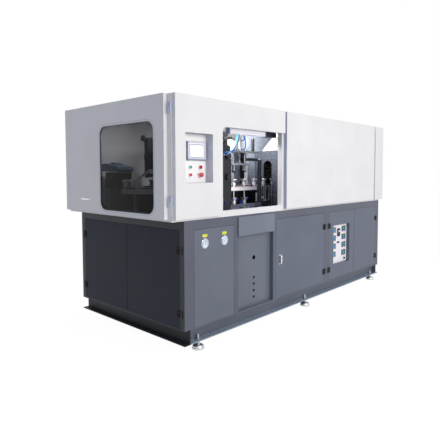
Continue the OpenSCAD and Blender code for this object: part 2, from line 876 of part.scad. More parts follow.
// Pull with its feet on z = 0, its bar along x
module pull_shape(length, out, d) {
    r = d * 1.2;
    for (m = [0, 1]) mirror([m, 0, 0]) {
        translate([length / 2 - d / 2, 0, 0]) {
            cylinder(d = d, h = out - d / 2 - r);
            cylinder(d = d + 5, h = 3);
        }
        translate([length / 2 - d / 2 - r, 0, out - d / 2 - r]) rotate([90, 0, 0]) rotate_extrude(angle = 90)
            translate([r, 0]) circle(d = d);
    }
    translate([-length / 2 + d / 2 + r, 0, out - d / 2]) rotate([0, 90, 0])
        cylinder(d = d, h = length - d - 2 * r);
}

// Doors of the base, flush with the posts, each with the door halves of its hinges
module end_door_front() {
    color(SLATE) {
        translate([0, end_post + end_w / 2, door_z]) rotate([0, 0, -90])
            flush_panel(end_w / 2, door_h);
        on_end(end_post) hinge_half(-1, false);
    }
}

module end_door_rear() {
    color(SLATE) {
        translate([0, end_post + end_w, door_z]) rotate([0, 0, -90]) flush_panel(end_w / 2, door_h);
        on_end(base_w - end_post) hinge_half(1, false);
    }
}

module front_door() {
    color(SLATE) {
        translate([front_door_x, 0, door_z]) flush_panel(front_door_w, door_h);
        on_front(front_door_x + front_door_w) hinge_half(-1, false);
    }
}

module front_door_handle() {
    color(STEEL) translate([front_door_x + handle_x, 0, base_z + handle_z])
        rotate([90, 0, 0]) rotate([0, 0, 90]) pull_shape(98, 30, 12);
}

heater_x = cabinet_x + heater_left;
heater_z = base_z + heater_low;

module cabinet_door_left() {
    color(SLATE) {
        difference() {
            union() {
                translate([cabinet_x, 0, door_z]) flush_panel(cabinet_w / 2, door_h);
                translate([heater_x - sheet_t, 0, heater_z - sheet_t])
                    cube([heater_w + 2 * sheet_t, heater_d, heater_h + 2 * sheet_t]);
            }
            translate([heater_x, -1, heater_z]) cube([heater_w, heater_d + 2, heater_h]);
        }
        on_front(cabinet_x) hinge_half(1, false);
    }
}

module cabinet_door_right() {
    color(SLATE) {
        translate([cabinet_x + cabinet_w / 2, 0, door_z]) flush_panel(cabinet_w / 2, door_h);
        on_front(cabinet_x + cabinet_w) hinge_half(-1, false);
    }
}

// Heater panel: a plate that closes the recess, with eight controllers, a switch and a knob
controller_x = [heater_x + controller_side, heater_x + heater_w - controller_side];
controller_top = heater_z + heater_h - controller_drop;
knob_at = [heater_x + heater_w - 58, heater_z + 36];

module controller_places() {
    for (x = controller_x, i = [0:3]) translate([x, heater_d, controller_top - i * controller_pitch])
        rotate([90, 0, 0]) children();
}

module heater_panel() {
    color(WHITE) difference() {
        translate([heater_x - 12, heater_d, heater_z - 12]) cube([heater_w + 24, sheet_t, heater_h + 24]);
        controller_places() translate([-controller_w / 2 + 4, -controller_h / 2 + 4, -10])
            cube([controller_w - 8, controller_h - 8, 20]);
        translate([knob_at[0], heater_d, knob_at[1]]) rotate([90, 0, 0])
            cylinder(d = 10, h = 20, center = true);
    }
}

module heat_controllers() {
    color(BLACK) {
        controller_places() {
            translate([-controller_w / 2, -controller_h / 2, 0]) cube([controller_w, controller_h, 7]);
            translate([-controller_w / 2 + 4.5, -controller_h / 2 + 4.5, -52])
                cube([controller_w - 9, controller_h - 9, 53]);
        }
        translate([heater_x + heater_w / 2 - 34, heater_d - 14, heater_z + heater_h - 146])
            cube([52, 14, 92]);
        translate([heater_x + heater_w / 2 - 36, heater_d - 6, heater_z + 236]) cube([48, 6, 22]);
    }
}

module heater_knob() {
    color(BLACK) translate([knob_at[0], heater_d, knob_at[1]]) rotate([90, 0, 0]) {
        translate([0, 0, -12]) cylinder(d = 9.9, h = 14);
        translate([0, 0, PLAY]) cylinder(d1 = 26, d2 = 22, h = 14);
        translate([-2, 0, 13]) cube([4, 11, 3]);
    }
}

// Mandrel chain: a closed loop of links round two wheels, with a mandrel at every joint
half_loop = run_l + PI * wheel_r;

// Place of the chain at the length s along its loop: x and y
function loop_at(s) =
    s < run_l ? [wheel_x + s, run_y]
    : s < half_loop ? arc_at(wheel_x + run_l, -90 + (s - run_l) / wheel_r * 180 / PI)
    : s < half_loop + run_l ? [wheel_x + run_l - (s - half_loop), back_run_y]
    : arc_at(wheel_x, 90 + (s - half_loop - run_l) / wheel_r * 180 / PI);

function arc_at(cx, a) = [cx + wheel_r * cos(a), run_y + wheel_r + wheel_r * sin(a)];

function mandrel_at(i) = loop_at(first_mandrel + (i % mandrels) * mandrel_pitch);

link_w = 24;
link_t = 5;
chain_h = 22;

module link(a, b) {
    d = b - a;
    translate([a[0], a[1], 0]) rotate([0, 0, atan2(d[1], d[0])]) for (z = [0.5, chain_h - link_t - 0.5])
        translate([0, -link_w / 2, z]) cube([norm(d), link_w, link_t]);
}

module mandrel() {
    r = mandrel_dia / 2;
    rotate_extrude($fn = 32) polygon([
        [0, 0], [link_w / 2 + 2, 0], [link_w / 2 + 2, chain_h], [24, chain_h], [24, chain_h + 16],
        [19, chain_h + 20], [r - 6, mandrel_h - 16], [r, mandrel_h - 12], [r, mandrel_h - 5],
        [r - 5, mandrel_h - 2], [12, mandrel_h - 2], [10, mandrel_h], [0, mandrel_h]]);
}

module mandrel_chain() {
    color(STEEL) translate([0, 0, chain_z]) for (i = [0:mandrels - 1]) {
        a = mandrel_at(i);
        translate([a[0], a[1], 0]) mandrel();
        link(a, mandrel_at(i + 1));
    }
}

// Chain wheels: pocketed discs between the links, on shafts through the deck, one with its gearmotor
module chain_wheels() {
    first_on_arc = ceil((run_l - first_mandrel) / mandrel_pitch) * mandrel_pitch + first_mandrel - run_l;
    phase = first_on_arc / wheel_r * 180 / PI;
    disc_z = chain_z + link_t + 3;
    pocket_r = link_w / 2 + 3.5;
    color(DARK) for (m = [[wheel_x + run_l, -90], [wheel_x, 90]]) translate([m[0], run_y + wheel_r, 0]) {
        difference() {
            union() {
                translate([0, 0, disc_z]) cylinder(r = wheel_r + 8, h = chain_h - 2 * link_t - 6);
                translate([0, 0, disc_z - 20]) cylinder(r = 60, h = 40);
            }
            for (k = [0:wheel_pockets - 1]) rotate([0, 0, m[1] + phase + k * 360 / wheel_pockets])
                translate([wheel_r, 0, disc_z - 30]) {
                    cylinder(r = pocket_r, h = 60);
                    translate([0, -pocket_r, 0]) cube([2 * pocket_r, 2 * pocket_r, 60]);
                }
        }
        translate([0, 0, deck_z]) cylinder(r = 60, h = 30);
        translate([0, 0, deck_z - deck_t - 40]) cylinder(r = 25, h = disc_z - deck_z + deck_t + 55);
        translate([-90, -90, deck_z - deck_t - 100]) cube([180, 180, 100 - PLAY]);
        if (m[1] > 0) translate([0, 0, deck_z - deck_t - 380]) cylinder(r = 75, h = 290);
    }
}

// Rail under the chain: a flat stadium ring on square legs
module stadium(r) {
    square([run_l, 2 * r]);
    for (x = [0, run_l]) translate([x, r]) circle(r = r, $fn = 96);
}

module chain_rail() {
    outer = wheel_r + rail_w / 2;
    inner = wheel_r - rail_w / 2;
    leg = rail_w - 20;
    color(WHITE) {
        translate([wheel_x, run_y - rail_w / 2, rail_top - rail_h]) linear_extrude(rail_h) difference() {
            stadium(outer);
            translate([0, rail_w]) stadium(inner);
        }
        for (x = [0, 0.22, 0.48, 0.76, 1] * run_l, y = [run_y, back_run_y])
            translate([wheel_x + x - leg / 2, y - leg / 2, deck_z]) cube([leg, leg, rail_z - rail_h]);
    }
}

// Transfer station: profile posts with slots, a cylinder plate, cylinders and a sliding nozzle plate
module profile_bar(length) {
    slot = profile / 4;
    linear_extrude(length) difference() {
        square(profile);
        for (a = [0:3]) translate([profile / 2, profile / 2]) rotate(a * 90)
            translate([-slot / 2, profile / 2 - slot]) square([slot, slot + 1]);
    }
}

module station_frame() {
    span = post_x[1] - post_x[0];
    back_y = run_y + 150;
    color(STEEL) {
        for (x = post_x) translate([x, post_y, deck_z]) profile_bar(profile_h);
        translate([post_x[0] + profile, post_y, deck_z + 55]) rotate([0, 90, 0])
            profile_bar(span - profile);
        translate([post_x[1] - arm_l, post_y + profile, deck_z + profile_h + profile / 2])
            rotate([0, 90, 0]) profile_bar(arm_l + profile);
        for (x = [station_x, station_x + station_l - profile]) translate([x, back_y, deck_z])
            profile_bar(station_z);
    }
}

nozzles = [nozzle_x, nozzle_x + mandrel_pitch];
rods = [nozzle_x - 48, nozzle_x + mandrel_pitch + 24];
lift_x = (nozzles[0] + nozzles[1]) / 2 + 8;

module cylinder_plate() {
    color(STEEL) translate([station_x, run_y, plate_z]) difference() {
        union() {
            translate([0, -75, 0]) cube([station_l, 255, station_t]);
            for (x = rods) translate([x, 0, -12]) cylinder(d = guide_rod + 18, h = station_t + 30);
            translate([station_l - 35, -10, station_t]) cylinder(d = 32, h = 150);
        }
        for (x = rods) translate([x, 0, -13]) cylinder(d = guide_rod + 0.1, h = station_t + 40);
        translate([lift_x, 0, -1]) cylinder(d = guide_rod + 0.1, h = station_t + 2);
    }
}

module stretch_cylinders() {
    color(WHITE) translate([station_x, run_y, plate_z + station_t]) {
        translate([nozzles[0], 0, 0]) air_cylinder(58, 118);
        difference() {
            translate([lift_x, 0, 0]) air_cylinder(44, 122);
            translate([lift_x, 0, -1]) cylinder(d = guide_rod + 0.1, h = 90);
        }
    }
}

// Air cylinder: square end caps, a round barrel and a port boss on each cap
module air_cylinder(d, h) {
    cap = 22;
    for (z = [0, h - cap]) translate([-d / 2, -d / 2, z]) cube([d, d, cap]);
    cylinder(d = d - 4, h = h);
    for (z = [cap / 2, h - cap / 2]) translate([0, -d / 2, z]) rotate([90, 0, 0]) cylinder(d = 14, h = 8);
}

module nozzle_plate() {
    rest_gap = 112;
    z = plate_z - rest_gap;
    color(STEEL) translate([station_x, run_y, z]) {
        translate([rods[0] - 20, -45, -station_t]) cube([rods[1] - rods[0] + 40, 90, station_t]);
        for (x = rods) cylinder_at(x, guide_rod, rest_gap + station_t + 30 + nozzle_travel);
        cylinder_at(lift_x, guide_rod, rest_gap + station_t + nozzle_travel);
        translate([lift_x, 0, 0]) cylinder(d = 38, h = 30);
        for (x = nozzles) translate([x, 0, -station_t]) mirror([0, 0, 1]) rotate_extrude() polygon([
            [0, 0], [22, 0], [22, 10], [17, 14], [17, 52], [20, 56], [20, 70], [14, 78], [0, 78]]);
    }
}

module cylinder_at(x, d, h) {
    translate([x, 0, -1]) cylinder(d = d, h = h + 1);
}

// Ejector cylinders that lift the mandrels from below the rail
module ejector_cylinders() {
    color(WHITE) for (x = nozzles) translate([station_x + x, run_y, deck_z]) {
        air_cylinder(56, 108);
        cylinder(d = 16, h = rail_z - rail_h - PLAY);
        translate([-40, -40, 0]) cube([80, 80, 10]);
    }
}

// Work lamp: a bar lamp behind the opening's upper edge, with its ballast box, both hung from the frame
lamp_drop = 195;
lamp_h = 50;
lamp_d = 45;
lamp_before = 490;
lamp_behind = 40;
hanger_w = 30;
hanger_t = 4;
hanger_d = 10;

module lamp_place() {
    translate([station_x - lamp_before, tube + lamp_behind, frame_top - tube - lamp_drop]) children();
}

module lamp_hanger(x, h) {
    translate([x, hanger_d, h - 1]) cube([hanger_w, hanger_t, lamp_drop + 1 - h - PLAY]);
    translate([x, -tube - 20, lamp_drop - hanger_t - PLAY])
        cube([hanger_w, tube + 20 + hanger_d + hanger_t, hanger_t]);
}

module work_lamp() {
    color(WHITE) lamp_place() {
        cube([lamp_l, lamp_d, lamp_h]);
        lamp_hanger(hanger_w, lamp_h);
    }
}

module lamp_box() {
    side = 12;
    color(DARK) lamp_place() {
        translate([lamp_l, -side, -4]) cube([lamp_box_l, lamp_d + 2 * side, lamp_h + side]);
        lamp_hanger(lamp_l + lamp_box_l / 2, lamp_h + side - 4);
    }
}

// Oven: a housing over the front run with an arch at each end, a slanted flue plate and lamp tubes
module arch_outline() {
    translate([-arch_w / 2, -1]) square([arch_w, arch_h - arch_w / 2 + 1]);
    translate([0, arch_h - arch_w / 2]) circle(r = arch_w / 2);
}

module oven_housing() {
    t = 4;
    y0 = run_y - oven_w / 2;
    color(STEEL) {
        difference() {
            translate([oven_x, y0, deck_z]) cube([oven_l, oven_w, oven_h]);
            translate([oven_x + t, y0 + t, deck_z - 1])
                cube([oven_l - 2 * t, oven_w - 2 * t, oven_h - t + 1]);
            for (x = [oven_x - 1, oven_x + oven_l - t - 1])
                translate([x, run_y, rail_top]) end_upright(t + 2) {
                arch_outline();
                translate([-rail_w / 2 - 6, -rail_z - 1]) square([rail_w + 12, rail_z + 2]);
            }
        }
        translate([oven_x, y0 + oven_w - t, deck_z + oven_h]) upright(t) polygon([
            [-140, -60], [0, -60], [148, -t], [148, 20], [440, 262], [-140, 262]]);
        for (i = [1, 2])
            translate([oven_x - 13 - i * guard_w - (i - 1) * guard_gap, run_y + guard_back, deck_z])
                cube([guard_w, 3, guard_h]);
    }
}

module oven_lamps() {
    span = oven_l - 8;
    y_off = oven_w / 2 - 60;
    z0 = rail_top + mandrel_h + 20;
    pitch = (arch_h - mandrel_h - 60) / (lamps - 1);
    color("gold") for (m = [-1, 1]) translate([oven_x + 4, run_y + m * y_off, z0]) {
        for (i = [0:lamps - 1]) translate([PLAY, 0, i * pitch]) rotate([0, 90, 0])
            cylinder(d = lamp_dia, h = span - 2 * PLAY, $fn = 24);
        for (x = [PLAY, span - 30 - PLAY]) translate([x, -12, -20]) cube([30, 24, pitch * (lamps - 1) + 40]);
    }
}

// Clamp: two fixed plates on a bed, four tie bars, and two mould halves that meet over the chain
plate_y = [run_y - 270, run_y + 220];
tie_x = [clamp_x + 37, clamp_x + clamp_l - 37];
tie_z = [mould_z + 20, mould_z + mould_h - 20];

module tie_places() {
    for (x = tie_x, z = tie_z) translate([x, 0, z]) rotate([-90, 0, 0]) children();
}

module clamp_frame() {
    span = plate_y[1] - plate_y[0] + clamp_t;
    color(DARK) {
        difference() {
            union() {
                for (y = plate_y) translate([clamp_x, y, deck_z]) cube([clamp_l, clamp_t, clamp_h]);
                translate([clamp_x, plate_y[0], deck_z]) cube([clamp_l, span, 55]);
            }
            ram_places() translate([0, 0, -1]) cylinder(d = ram_dia + 0.1, h = clamp_t + 2);
            translate([wheel_x, run_y + wheel_r, chain_z]) cylinder(r = wheel_r + 16, h = chain_h);
        }
        tie_places() translate([0, 0, plate_y[0] - 14]) cylinder(d = tie_bar, h = span + 28);
        tie_places() for (y = [plate_y[0] - 22, plate_y[1] + clamp_t])
            translate([0, 0, y]) cylinder(d = tie_bar * 1.7, h = 22, $fn = 6);
        ram_places() translate([0, 0, -110]) difference() {
            cylinder(d = 2 * ram_dia, h = 110);
            translate([0, 0, 20]) cylinder(d = ram_dia + 0.1, h = 100);
        }
    }
}

// Both ram places, with z towards the chain
module ram_places() {
    x = clamp_x + clamp_l / 2;
    z = mould_z + mould_h / 2;
    translate([x, plate_y[0], z]) rotate([-90, 0, 0]) children();
    translate([x, plate_y[1] + clamp_t, z]) rotate([90, 0, 0]) children();
}

// One moving half, drawn for the front: platen with bored corners, ram, and mould with two cavities
module clamp_half() {
    face = run_y - clamp_stroke;
    mould_l = 2 * mandrel_pitch - 10;
    mould_x = clamp_x + (clamp_l - mould_l) / 2;
    platen_y = face - mould_t - clamp_t;
    difference() {
        union() {
            translate([clamp_x, platen_y, mould_z - 20]) cube([clamp_l, clamp_t, mould_h + 40]);
            translate([mould_x, face - mould_t, mould_z]) cube([mould_l, mould_t, mould_h]);
            translate([clamp_x + clamp_l / 2, platen_y + 1, mould_z + mould_h / 2]) rotate([90, 0, 0])
                cylinder(d = ram_dia, h = platen_y - plate_y[0] + 2 + 25);
        }
        tie_places() translate([0, 0, platen_y - 1]) cylinder(d = tie_bar + 0.1, h = clamp_t + 2);
        for (i = [1, 2]) translate([wheel_x + first_mandrel + i * mandrel_pitch, face, mould_z - 1]) {
            cylinder(d = 28, h = 40);
            translate([0, 0, 22]) cylinder(d1 = 28, d2 = cavity_dia, h = 30);
            translate([0, 0, 52]) cylinder(d = cavity_dia, h = mould_h - 90);
        }
    }
}

module front_clamp_half() {
    color(STEEL) clamp_half();
}

module rear_clamp_half() {
    color(STEEL) translate([0, 2 * run_y, 0]) mirror([0, 1, 0]) clamp_half();
}

// Blue air hoses, swept along their routes from the valve block to the lift cylinder
function turn(a, b) = let (d = b - a) d / norm(d);

module hose(pts, d) {
    n = 8;
    m = len(pts);
    rings = [for (i = [0:m - 1])
        let (f = turn(pts[max(i - 1, 0)], pts[min(i + 1, m - 1)]),
             s = turn([0, 0, 0], cross(f, [0.2, 1, 0.1])),
             u = cross(s, f))
        for (k = [0:n - 1]) pts[i] + d / 2 * (cos(k * 360 / n) * s + sin(k * 360 / n) * u)];
    polyhedron(rings, concat(
        [[for (k = [0:n - 1]) k]],
        [for (i = [0:m - 2], k = [0:n - 1])
            [i * n + k, (i + 1) * n + k, (i + 1) * n + (k + 1) % n, i * n + (k + 1) % n]],
        [[for (k = [n - 1:-1:0]) (m - 1) * n + k]]));
}

// Catmull-Rom curve through hand-placed points, four steps to a stretch
function smooth(p) = let (m = len(p)) concat([for (i = [0:m - 2], k = [0:3])
    let (t = k / 4, a = p[max(i - 1, 0)], b = p[i], c = p[i + 1], e = p[min(i + 2, m - 1)])
    0.5 * (2 * b + (c - a) * t + (2 * a - 5 * b + 4 * c - e) * t * t + (3 * b - a - 3 * c + e) * t * t * t)],
    [p[m - 1]]);

lower_hose = [[740, 299.7, 1634], [740, 290, 1634], [741, 280, 1634], [748, 264, 1636],
              [764, 251, 1640], [790, 246, 1648], [840, 254, 1668], [915, 296, 1702],
              [990, 344, 1752], [1060, 388, 1808], [1110, 415, 1846], [1155, 435, 1872],
              [1190, 446, 1878], [1222, 455, 1866], [1247, 462, 1840], [1264, 468, 1805],
              [1274, 472, 1765], [1279, 477, 1732], [1283, 486, 1712], [1286, 500, 1698],
              [1288, 518, 1691], [1289, 530, 1690], [1289, 539.7, 1690]];
upper_hose = [[762, 299.7, 1616], [762, 290, 1616], [763, 280, 1616.5], [769, 270, 1619],
              [784, 262, 1627], [812, 258, 1639], [856, 266, 1655], [918, 300, 1684],
              [990, 350, 1733], [1058, 396, 1788], [1108, 422, 1822], [1150, 441, 1840],
              [1185, 454, 1846], [1218, 463, 1842], [1244, 470, 1831], [1263, 478, 1817],
              [1276, 489, 1803], [1284, 503, 1794], [1288, 519, 1790.5], [1289, 530, 1790],
              [1289, 539.7, 1790]];

module air_hoses() {
    color("dodgerblue") {
        hose(smooth(lower_hose), 12);
        hose(smooth(upper_hose), 12);
    }
}

// Electrical plate behind the cabinet doors, with rows of switchgear on rails
backplate_y = 300;
backplate_t = 3;
gear_rail_d = 8;
gear_rail_h = 35;
gear_rail_z = base_z + 130;
gear_pitch = [132, 180];
gear_d = 70;
gear_h = 76;
gear_w = [90, 45, 45, 60, 72, 45, 110, 45];

module mounting_plate() {
    color(STEEL) {
        translate([cabinet_x + 10, backplate_y, base_z + post_t])
            cube([cabinet_w - 20, backplate_t, door_h - 20]);
        for (row = [0:3])
            translate([cabinet_x + 60, backplate_y - gear_rail_d, gear_rail_z + row * gear_pitch[1]])
                cube([cabinet_w - 120, gear_rail_d, gear_rail_h]);
    }
}

// The rows differ, and every fifth place is free
module switchgear() {
    gear_y = backplate_y - gear_rail_d - gear_d;
    color(DARK) for (row = [0:3], i = [0:7]) if ((i + row) % 5 != 3)
        translate([cabinet_x + 80 + i * gear_pitch[0], gear_y, gear_rail_z - 18 + row * gear_pitch[1]])
            cube([gear_w[(i + row) % 8], gear_d - PLAY, gear_h]);
}

// Air receiver on two saddles behind the front door
receiver_r = 190;
receiver_y = 520;
receiver_lift = 60;
saddle_w = 260;
saddle_t = 20;

module air_receiver() {
    r = receiver_r;
    l = front_door_w - 230;
    color(SLATE) translate([front_door_x + 40, receiver_y, base_z + post_t]) {
        translate([0, 0, r + receiver_lift]) rotate([0, 90, 0]) rotate_extrude() polygon([
            [0, 0], [r * 0.5, 12], [r * 0.82, 45], [r, 100],
            [r, l], [r * 0.82, l + 55], [r * 0.5, l + 88], [0, l + 100]]);
        for (x = [150, l - 50]) difference() {
            translate([x, -saddle_w / 2, 0]) cube([saddle_t, saddle_w, r]);
            translate([x - 1, 0, r + receiver_lift]) rotate([0, 90, 0])
                cylinder(r = r - 2, h = saddle_t + 2);
        }
    }
}

// Centres the machine on the origin
module place() {
    translate([-x_mid, -y_mid, 0]) children();
}

place() plinth();
place() foot_pads();
place() foot_bolts();
place() base_frame();
place() base_posts();
place() gauge_panel();
place() gauge_cases();
place() gauge_needle(-1);  // gauge_needle_left
place() gauge_needle(1);  // gauge_needle_right
place() bay_panel();
place() bay_hood();
place() fixed_panels();
place() deck_plate();
place() base_hinges();
place() hood_frame();
place() operator_panel();
place() control_box();
place() front_cover();
place() corner_cover();
place() plain_covers();
place() roof();
place() touch_screen();
place() switch_collars();
place() corner_hinges();
place() work_lamp();
place() lamp_box();
place() station_frame();
place() cylinder_plate();
place() stretch_cylinders();
place() air_hoses();
place() nozzle_plate();
place() chain_rail();
place() mandrel_chain();
place() chain_wheels();
place() oven_housing();
place() oven_lamps();
place() clamp_frame();
place() front_clamp_half();
place() rear_clamp_half();
place() ejector_cylinders();
place() mounting_plate();
place() switchgear();
place() air_receiver();
place() window_door();
place() window_pane();
place() window_seal();
place() door_pull();
place() end_door_front();
place() end_door_rear();
place() front_door();
place() front_door_handle();
place() cabinet_door_left();
place() heater_panel();
place() heat_controllers();
place() heater_knob();
place() cabinet_door_right();
place() start_button();
place() stop_button();
place() selector_switch();
place() emergency_stop();
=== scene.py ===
"""Looks of a linear stretch blow moulding machine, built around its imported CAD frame.

The frame is in metres: +X along the operator's side, +Y to the rear, +Z up. Sizes here are millimetres, and
places are counted from the base's left front corner and the floor.
"""

import math

import bmesh
import bpy
from mathutils import Matrix, Vector


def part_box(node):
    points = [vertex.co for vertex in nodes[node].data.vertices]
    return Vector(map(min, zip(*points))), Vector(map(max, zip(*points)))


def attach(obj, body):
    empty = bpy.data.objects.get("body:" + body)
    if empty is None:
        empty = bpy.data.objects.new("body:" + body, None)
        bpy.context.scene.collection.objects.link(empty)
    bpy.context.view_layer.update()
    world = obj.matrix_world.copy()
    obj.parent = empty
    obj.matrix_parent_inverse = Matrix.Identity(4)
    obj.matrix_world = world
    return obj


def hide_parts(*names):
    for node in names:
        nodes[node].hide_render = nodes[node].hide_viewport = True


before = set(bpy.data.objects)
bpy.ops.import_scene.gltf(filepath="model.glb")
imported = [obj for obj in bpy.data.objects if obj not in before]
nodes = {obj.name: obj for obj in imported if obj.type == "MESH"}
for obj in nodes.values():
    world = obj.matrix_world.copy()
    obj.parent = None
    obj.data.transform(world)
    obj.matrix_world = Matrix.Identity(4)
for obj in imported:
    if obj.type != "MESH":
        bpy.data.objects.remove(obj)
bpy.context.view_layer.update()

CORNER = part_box("base_frame")[0]
LEFT, FRONT, UP, REAR = Vector((-1, 0, 0)), Vector((0, -1, 0)), Vector((0, 0, 1)), Vector((0, 1, 0))


def at(x, y, z):
    """A place in those millimetres, in the frame's metres."""
    return Vector((CORNER.x + x / 1000, CORNER.y + y / 1000, z / 1000))


def span(name):
    """A node's lowest and highest corners in those millimetres."""
    low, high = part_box(name)
    return [[(c.x - CORNER.x) * 1000, (c.y - CORNER.y) * 1000, c.z * 1000] for c in (low, high)]


# What several pieces share: the base's underside, the deck's top, the middle of the chain's front run, and
# the width and places of the station's two front posts

BASE_Z = CORNER.z * 1000
DECK = span("deck_plate")[1][2]
RUN_Y = 570
POST = 30
POST_X = (span("station_frame")[0][0], span("oven_housing")[0][0] - 5)


# Modelling with bmesh operators


def put(name, mesh, finish, body="machine"):
    """Closes the mesh, turns its faces outwards, and hands it to the body that it moves with."""
    bmesh.ops.remove_doubles(mesh, verts=mesh.verts, dist=0.000002)
    bmesh.ops.recalc_face_normals(mesh, faces=mesh.faces)
    data = bpy.data.meshes.new(name)
    mesh.to_mesh(data)
    mesh.free()
    data.materials.append(finish)
    piece = bpy.data.objects.new(name, data)
    bpy.context.scene.collection.objects.link(piece)
    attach(piece, body)


def thicken(mesh, faces, depth):
    """Extrudes faces by a vector in millimetres, and gives all that moved.

    A face that ends a longer shape comes with its edges and corners, so that it doesn't stay inside.
    """
    moved = bmesh.ops.extrude_face_region(mesh, geom=faces)["geom"]
    corners = [v for v in moved if isinstance(v, bmesh.types.BMVert)]
    bmesh.ops.translate(mesh, vec=depth / 1000, verts=corners)
    return moved


def block(mesh, low, high, edge=0.6, segments=2):
    """A box between two corners with rounded edges."""
    low, high = at(*low), at(*high)
    shape = Matrix.Translation((low + high) / 2) @ Matrix.Diagonal((*(high - low), 1))
    corners = bmesh.ops.create_cube(mesh, size=1, matrix=shape)["verts"]
    edges = list({e for v in corners for e in v.link_edges})
    bmesh.ops.bevel(mesh, geom=edges, offset=edge / 1000, affect="EDGES", segments=segments, profile=0.5,
                    material=-1)


def prism(mesh, outline, low, high):
    """An upright solid between two distances from the left end; its outline holds depth and height pairs."""
    face = mesh.faces.new([mesh.verts.new(at(low, y, z)) for y, z in outline])
    thicken(mesh, [face], Vector((high - low, 0, 0)))


def round_plate(mesh, low, high, radius, facing, rim=None, segments=6):
    """A plate with round corners between two corners, facing one way. rim makes it a frame of that width."""
    low, high = at(*low), at(*high)
    size = high - low
    thickness = abs(size.dot(facing))
    turn, width, height = ("X", size.x, size.z) if facing.y else ("Y", size.z, size.y)
    shape = (Matrix.Translation((low + high) / 2 - facing * thickness / 2)
             @ Matrix.Rotation(math.pi / 2, 4, turn) @ Matrix.Diagonal((width, height, 1, 1)))
    corners = bmesh.ops.create_grid(mesh, x_segments=1, y_segments=1, size=0.5, matrix=shape)["verts"]
    bmesh.ops.bevel(mesh, geom=corners, offset=radius / 1000, affect="VERTICES", segments=segments,
                    profile=0.5, material=-1)
    face = max(mesh.faces, key=lambda f: len(f.verts))
    faces = [face]
    if rim:
        faces = bmesh.ops.inset_region(mesh, faces=[face], thickness=rim / 1000, use_boundary=True,
                                       use_even_offset=True)["faces"]
        bmesh.ops.delete(mesh, geom=[face], context="FACES_ONLY")
    thicken(mesh, faces, facing * thickness * 1000)


def turned(mesh, outline, centre, axis, steps=32, closed=False):
    """A turned shape. The outline gives (radius, height) pairs, with the height along the axis."""
    turn = UP.rotation_difference(axis).to_matrix()
    ring = [mesh.verts.new(at(*centre) + turn @ Vector((r / 1000, 0, h / 1000))) for r, h in outline]
    pairs = list(zip(ring, ring[1:])) + ([(ring[-1], ring[0])] if closed else [])
    edges = [mesh.edges.new(pair) for pair in pairs]
    bmesh.ops.spin(mesh, geom=ring + edges, cent=at(*centre), axis=axis, angle=2 * math.pi, steps=steps,
                   use_merge=True)


def screws(name, places, axis, r, finish, body="machine"):
    """Button heads, each with its round socket."""
    head = [(0, 0.25), (0.42, 0.25), (0.42, 0.7), (0.7, 0.66), (0.95, 0.4), (1, 0), (0, 0)]
    mesh = bmesh.new()
    for place in places:
        turned(mesh, [(r * across, r * up) for across, up in head], place, axis, 14)
    put(name, mesh, finish, body)


# Materials. Every pattern reads object coordinates, because all the pieces sit at the origin.


def linear(hex_colour):
    """sRGB hex to the linear values that the shaders take."""
    values = [int(hex_colour[i : i + 2], 16) / 255 for i in (1, 3, 5)]
    return [c / 12.92 if c <= 0.04045 else ((c + 0.055) / 1.055) ** 2.4 for c in values] + [1.0]


def wire(material, node, inputs):
    """Sets a node's inputs, each to a value or to another node's output."""
    for socket, value in inputs.items():
        if isinstance(value, bpy.types.NodeSocket):
            material.node_tree.links.new(value, node.inputs[socket])
        else:
            node.inputs[socket].default_value = value


def add(material, kind, inputs=None, **settings):
    """A node of that kind with its settings, inputs and links."""
    node = material.node_tree.nodes.new(kind)
    for key, value in settings.items():
        setattr(node, key, value)
    wire(material, node, inputs or {})
    return node


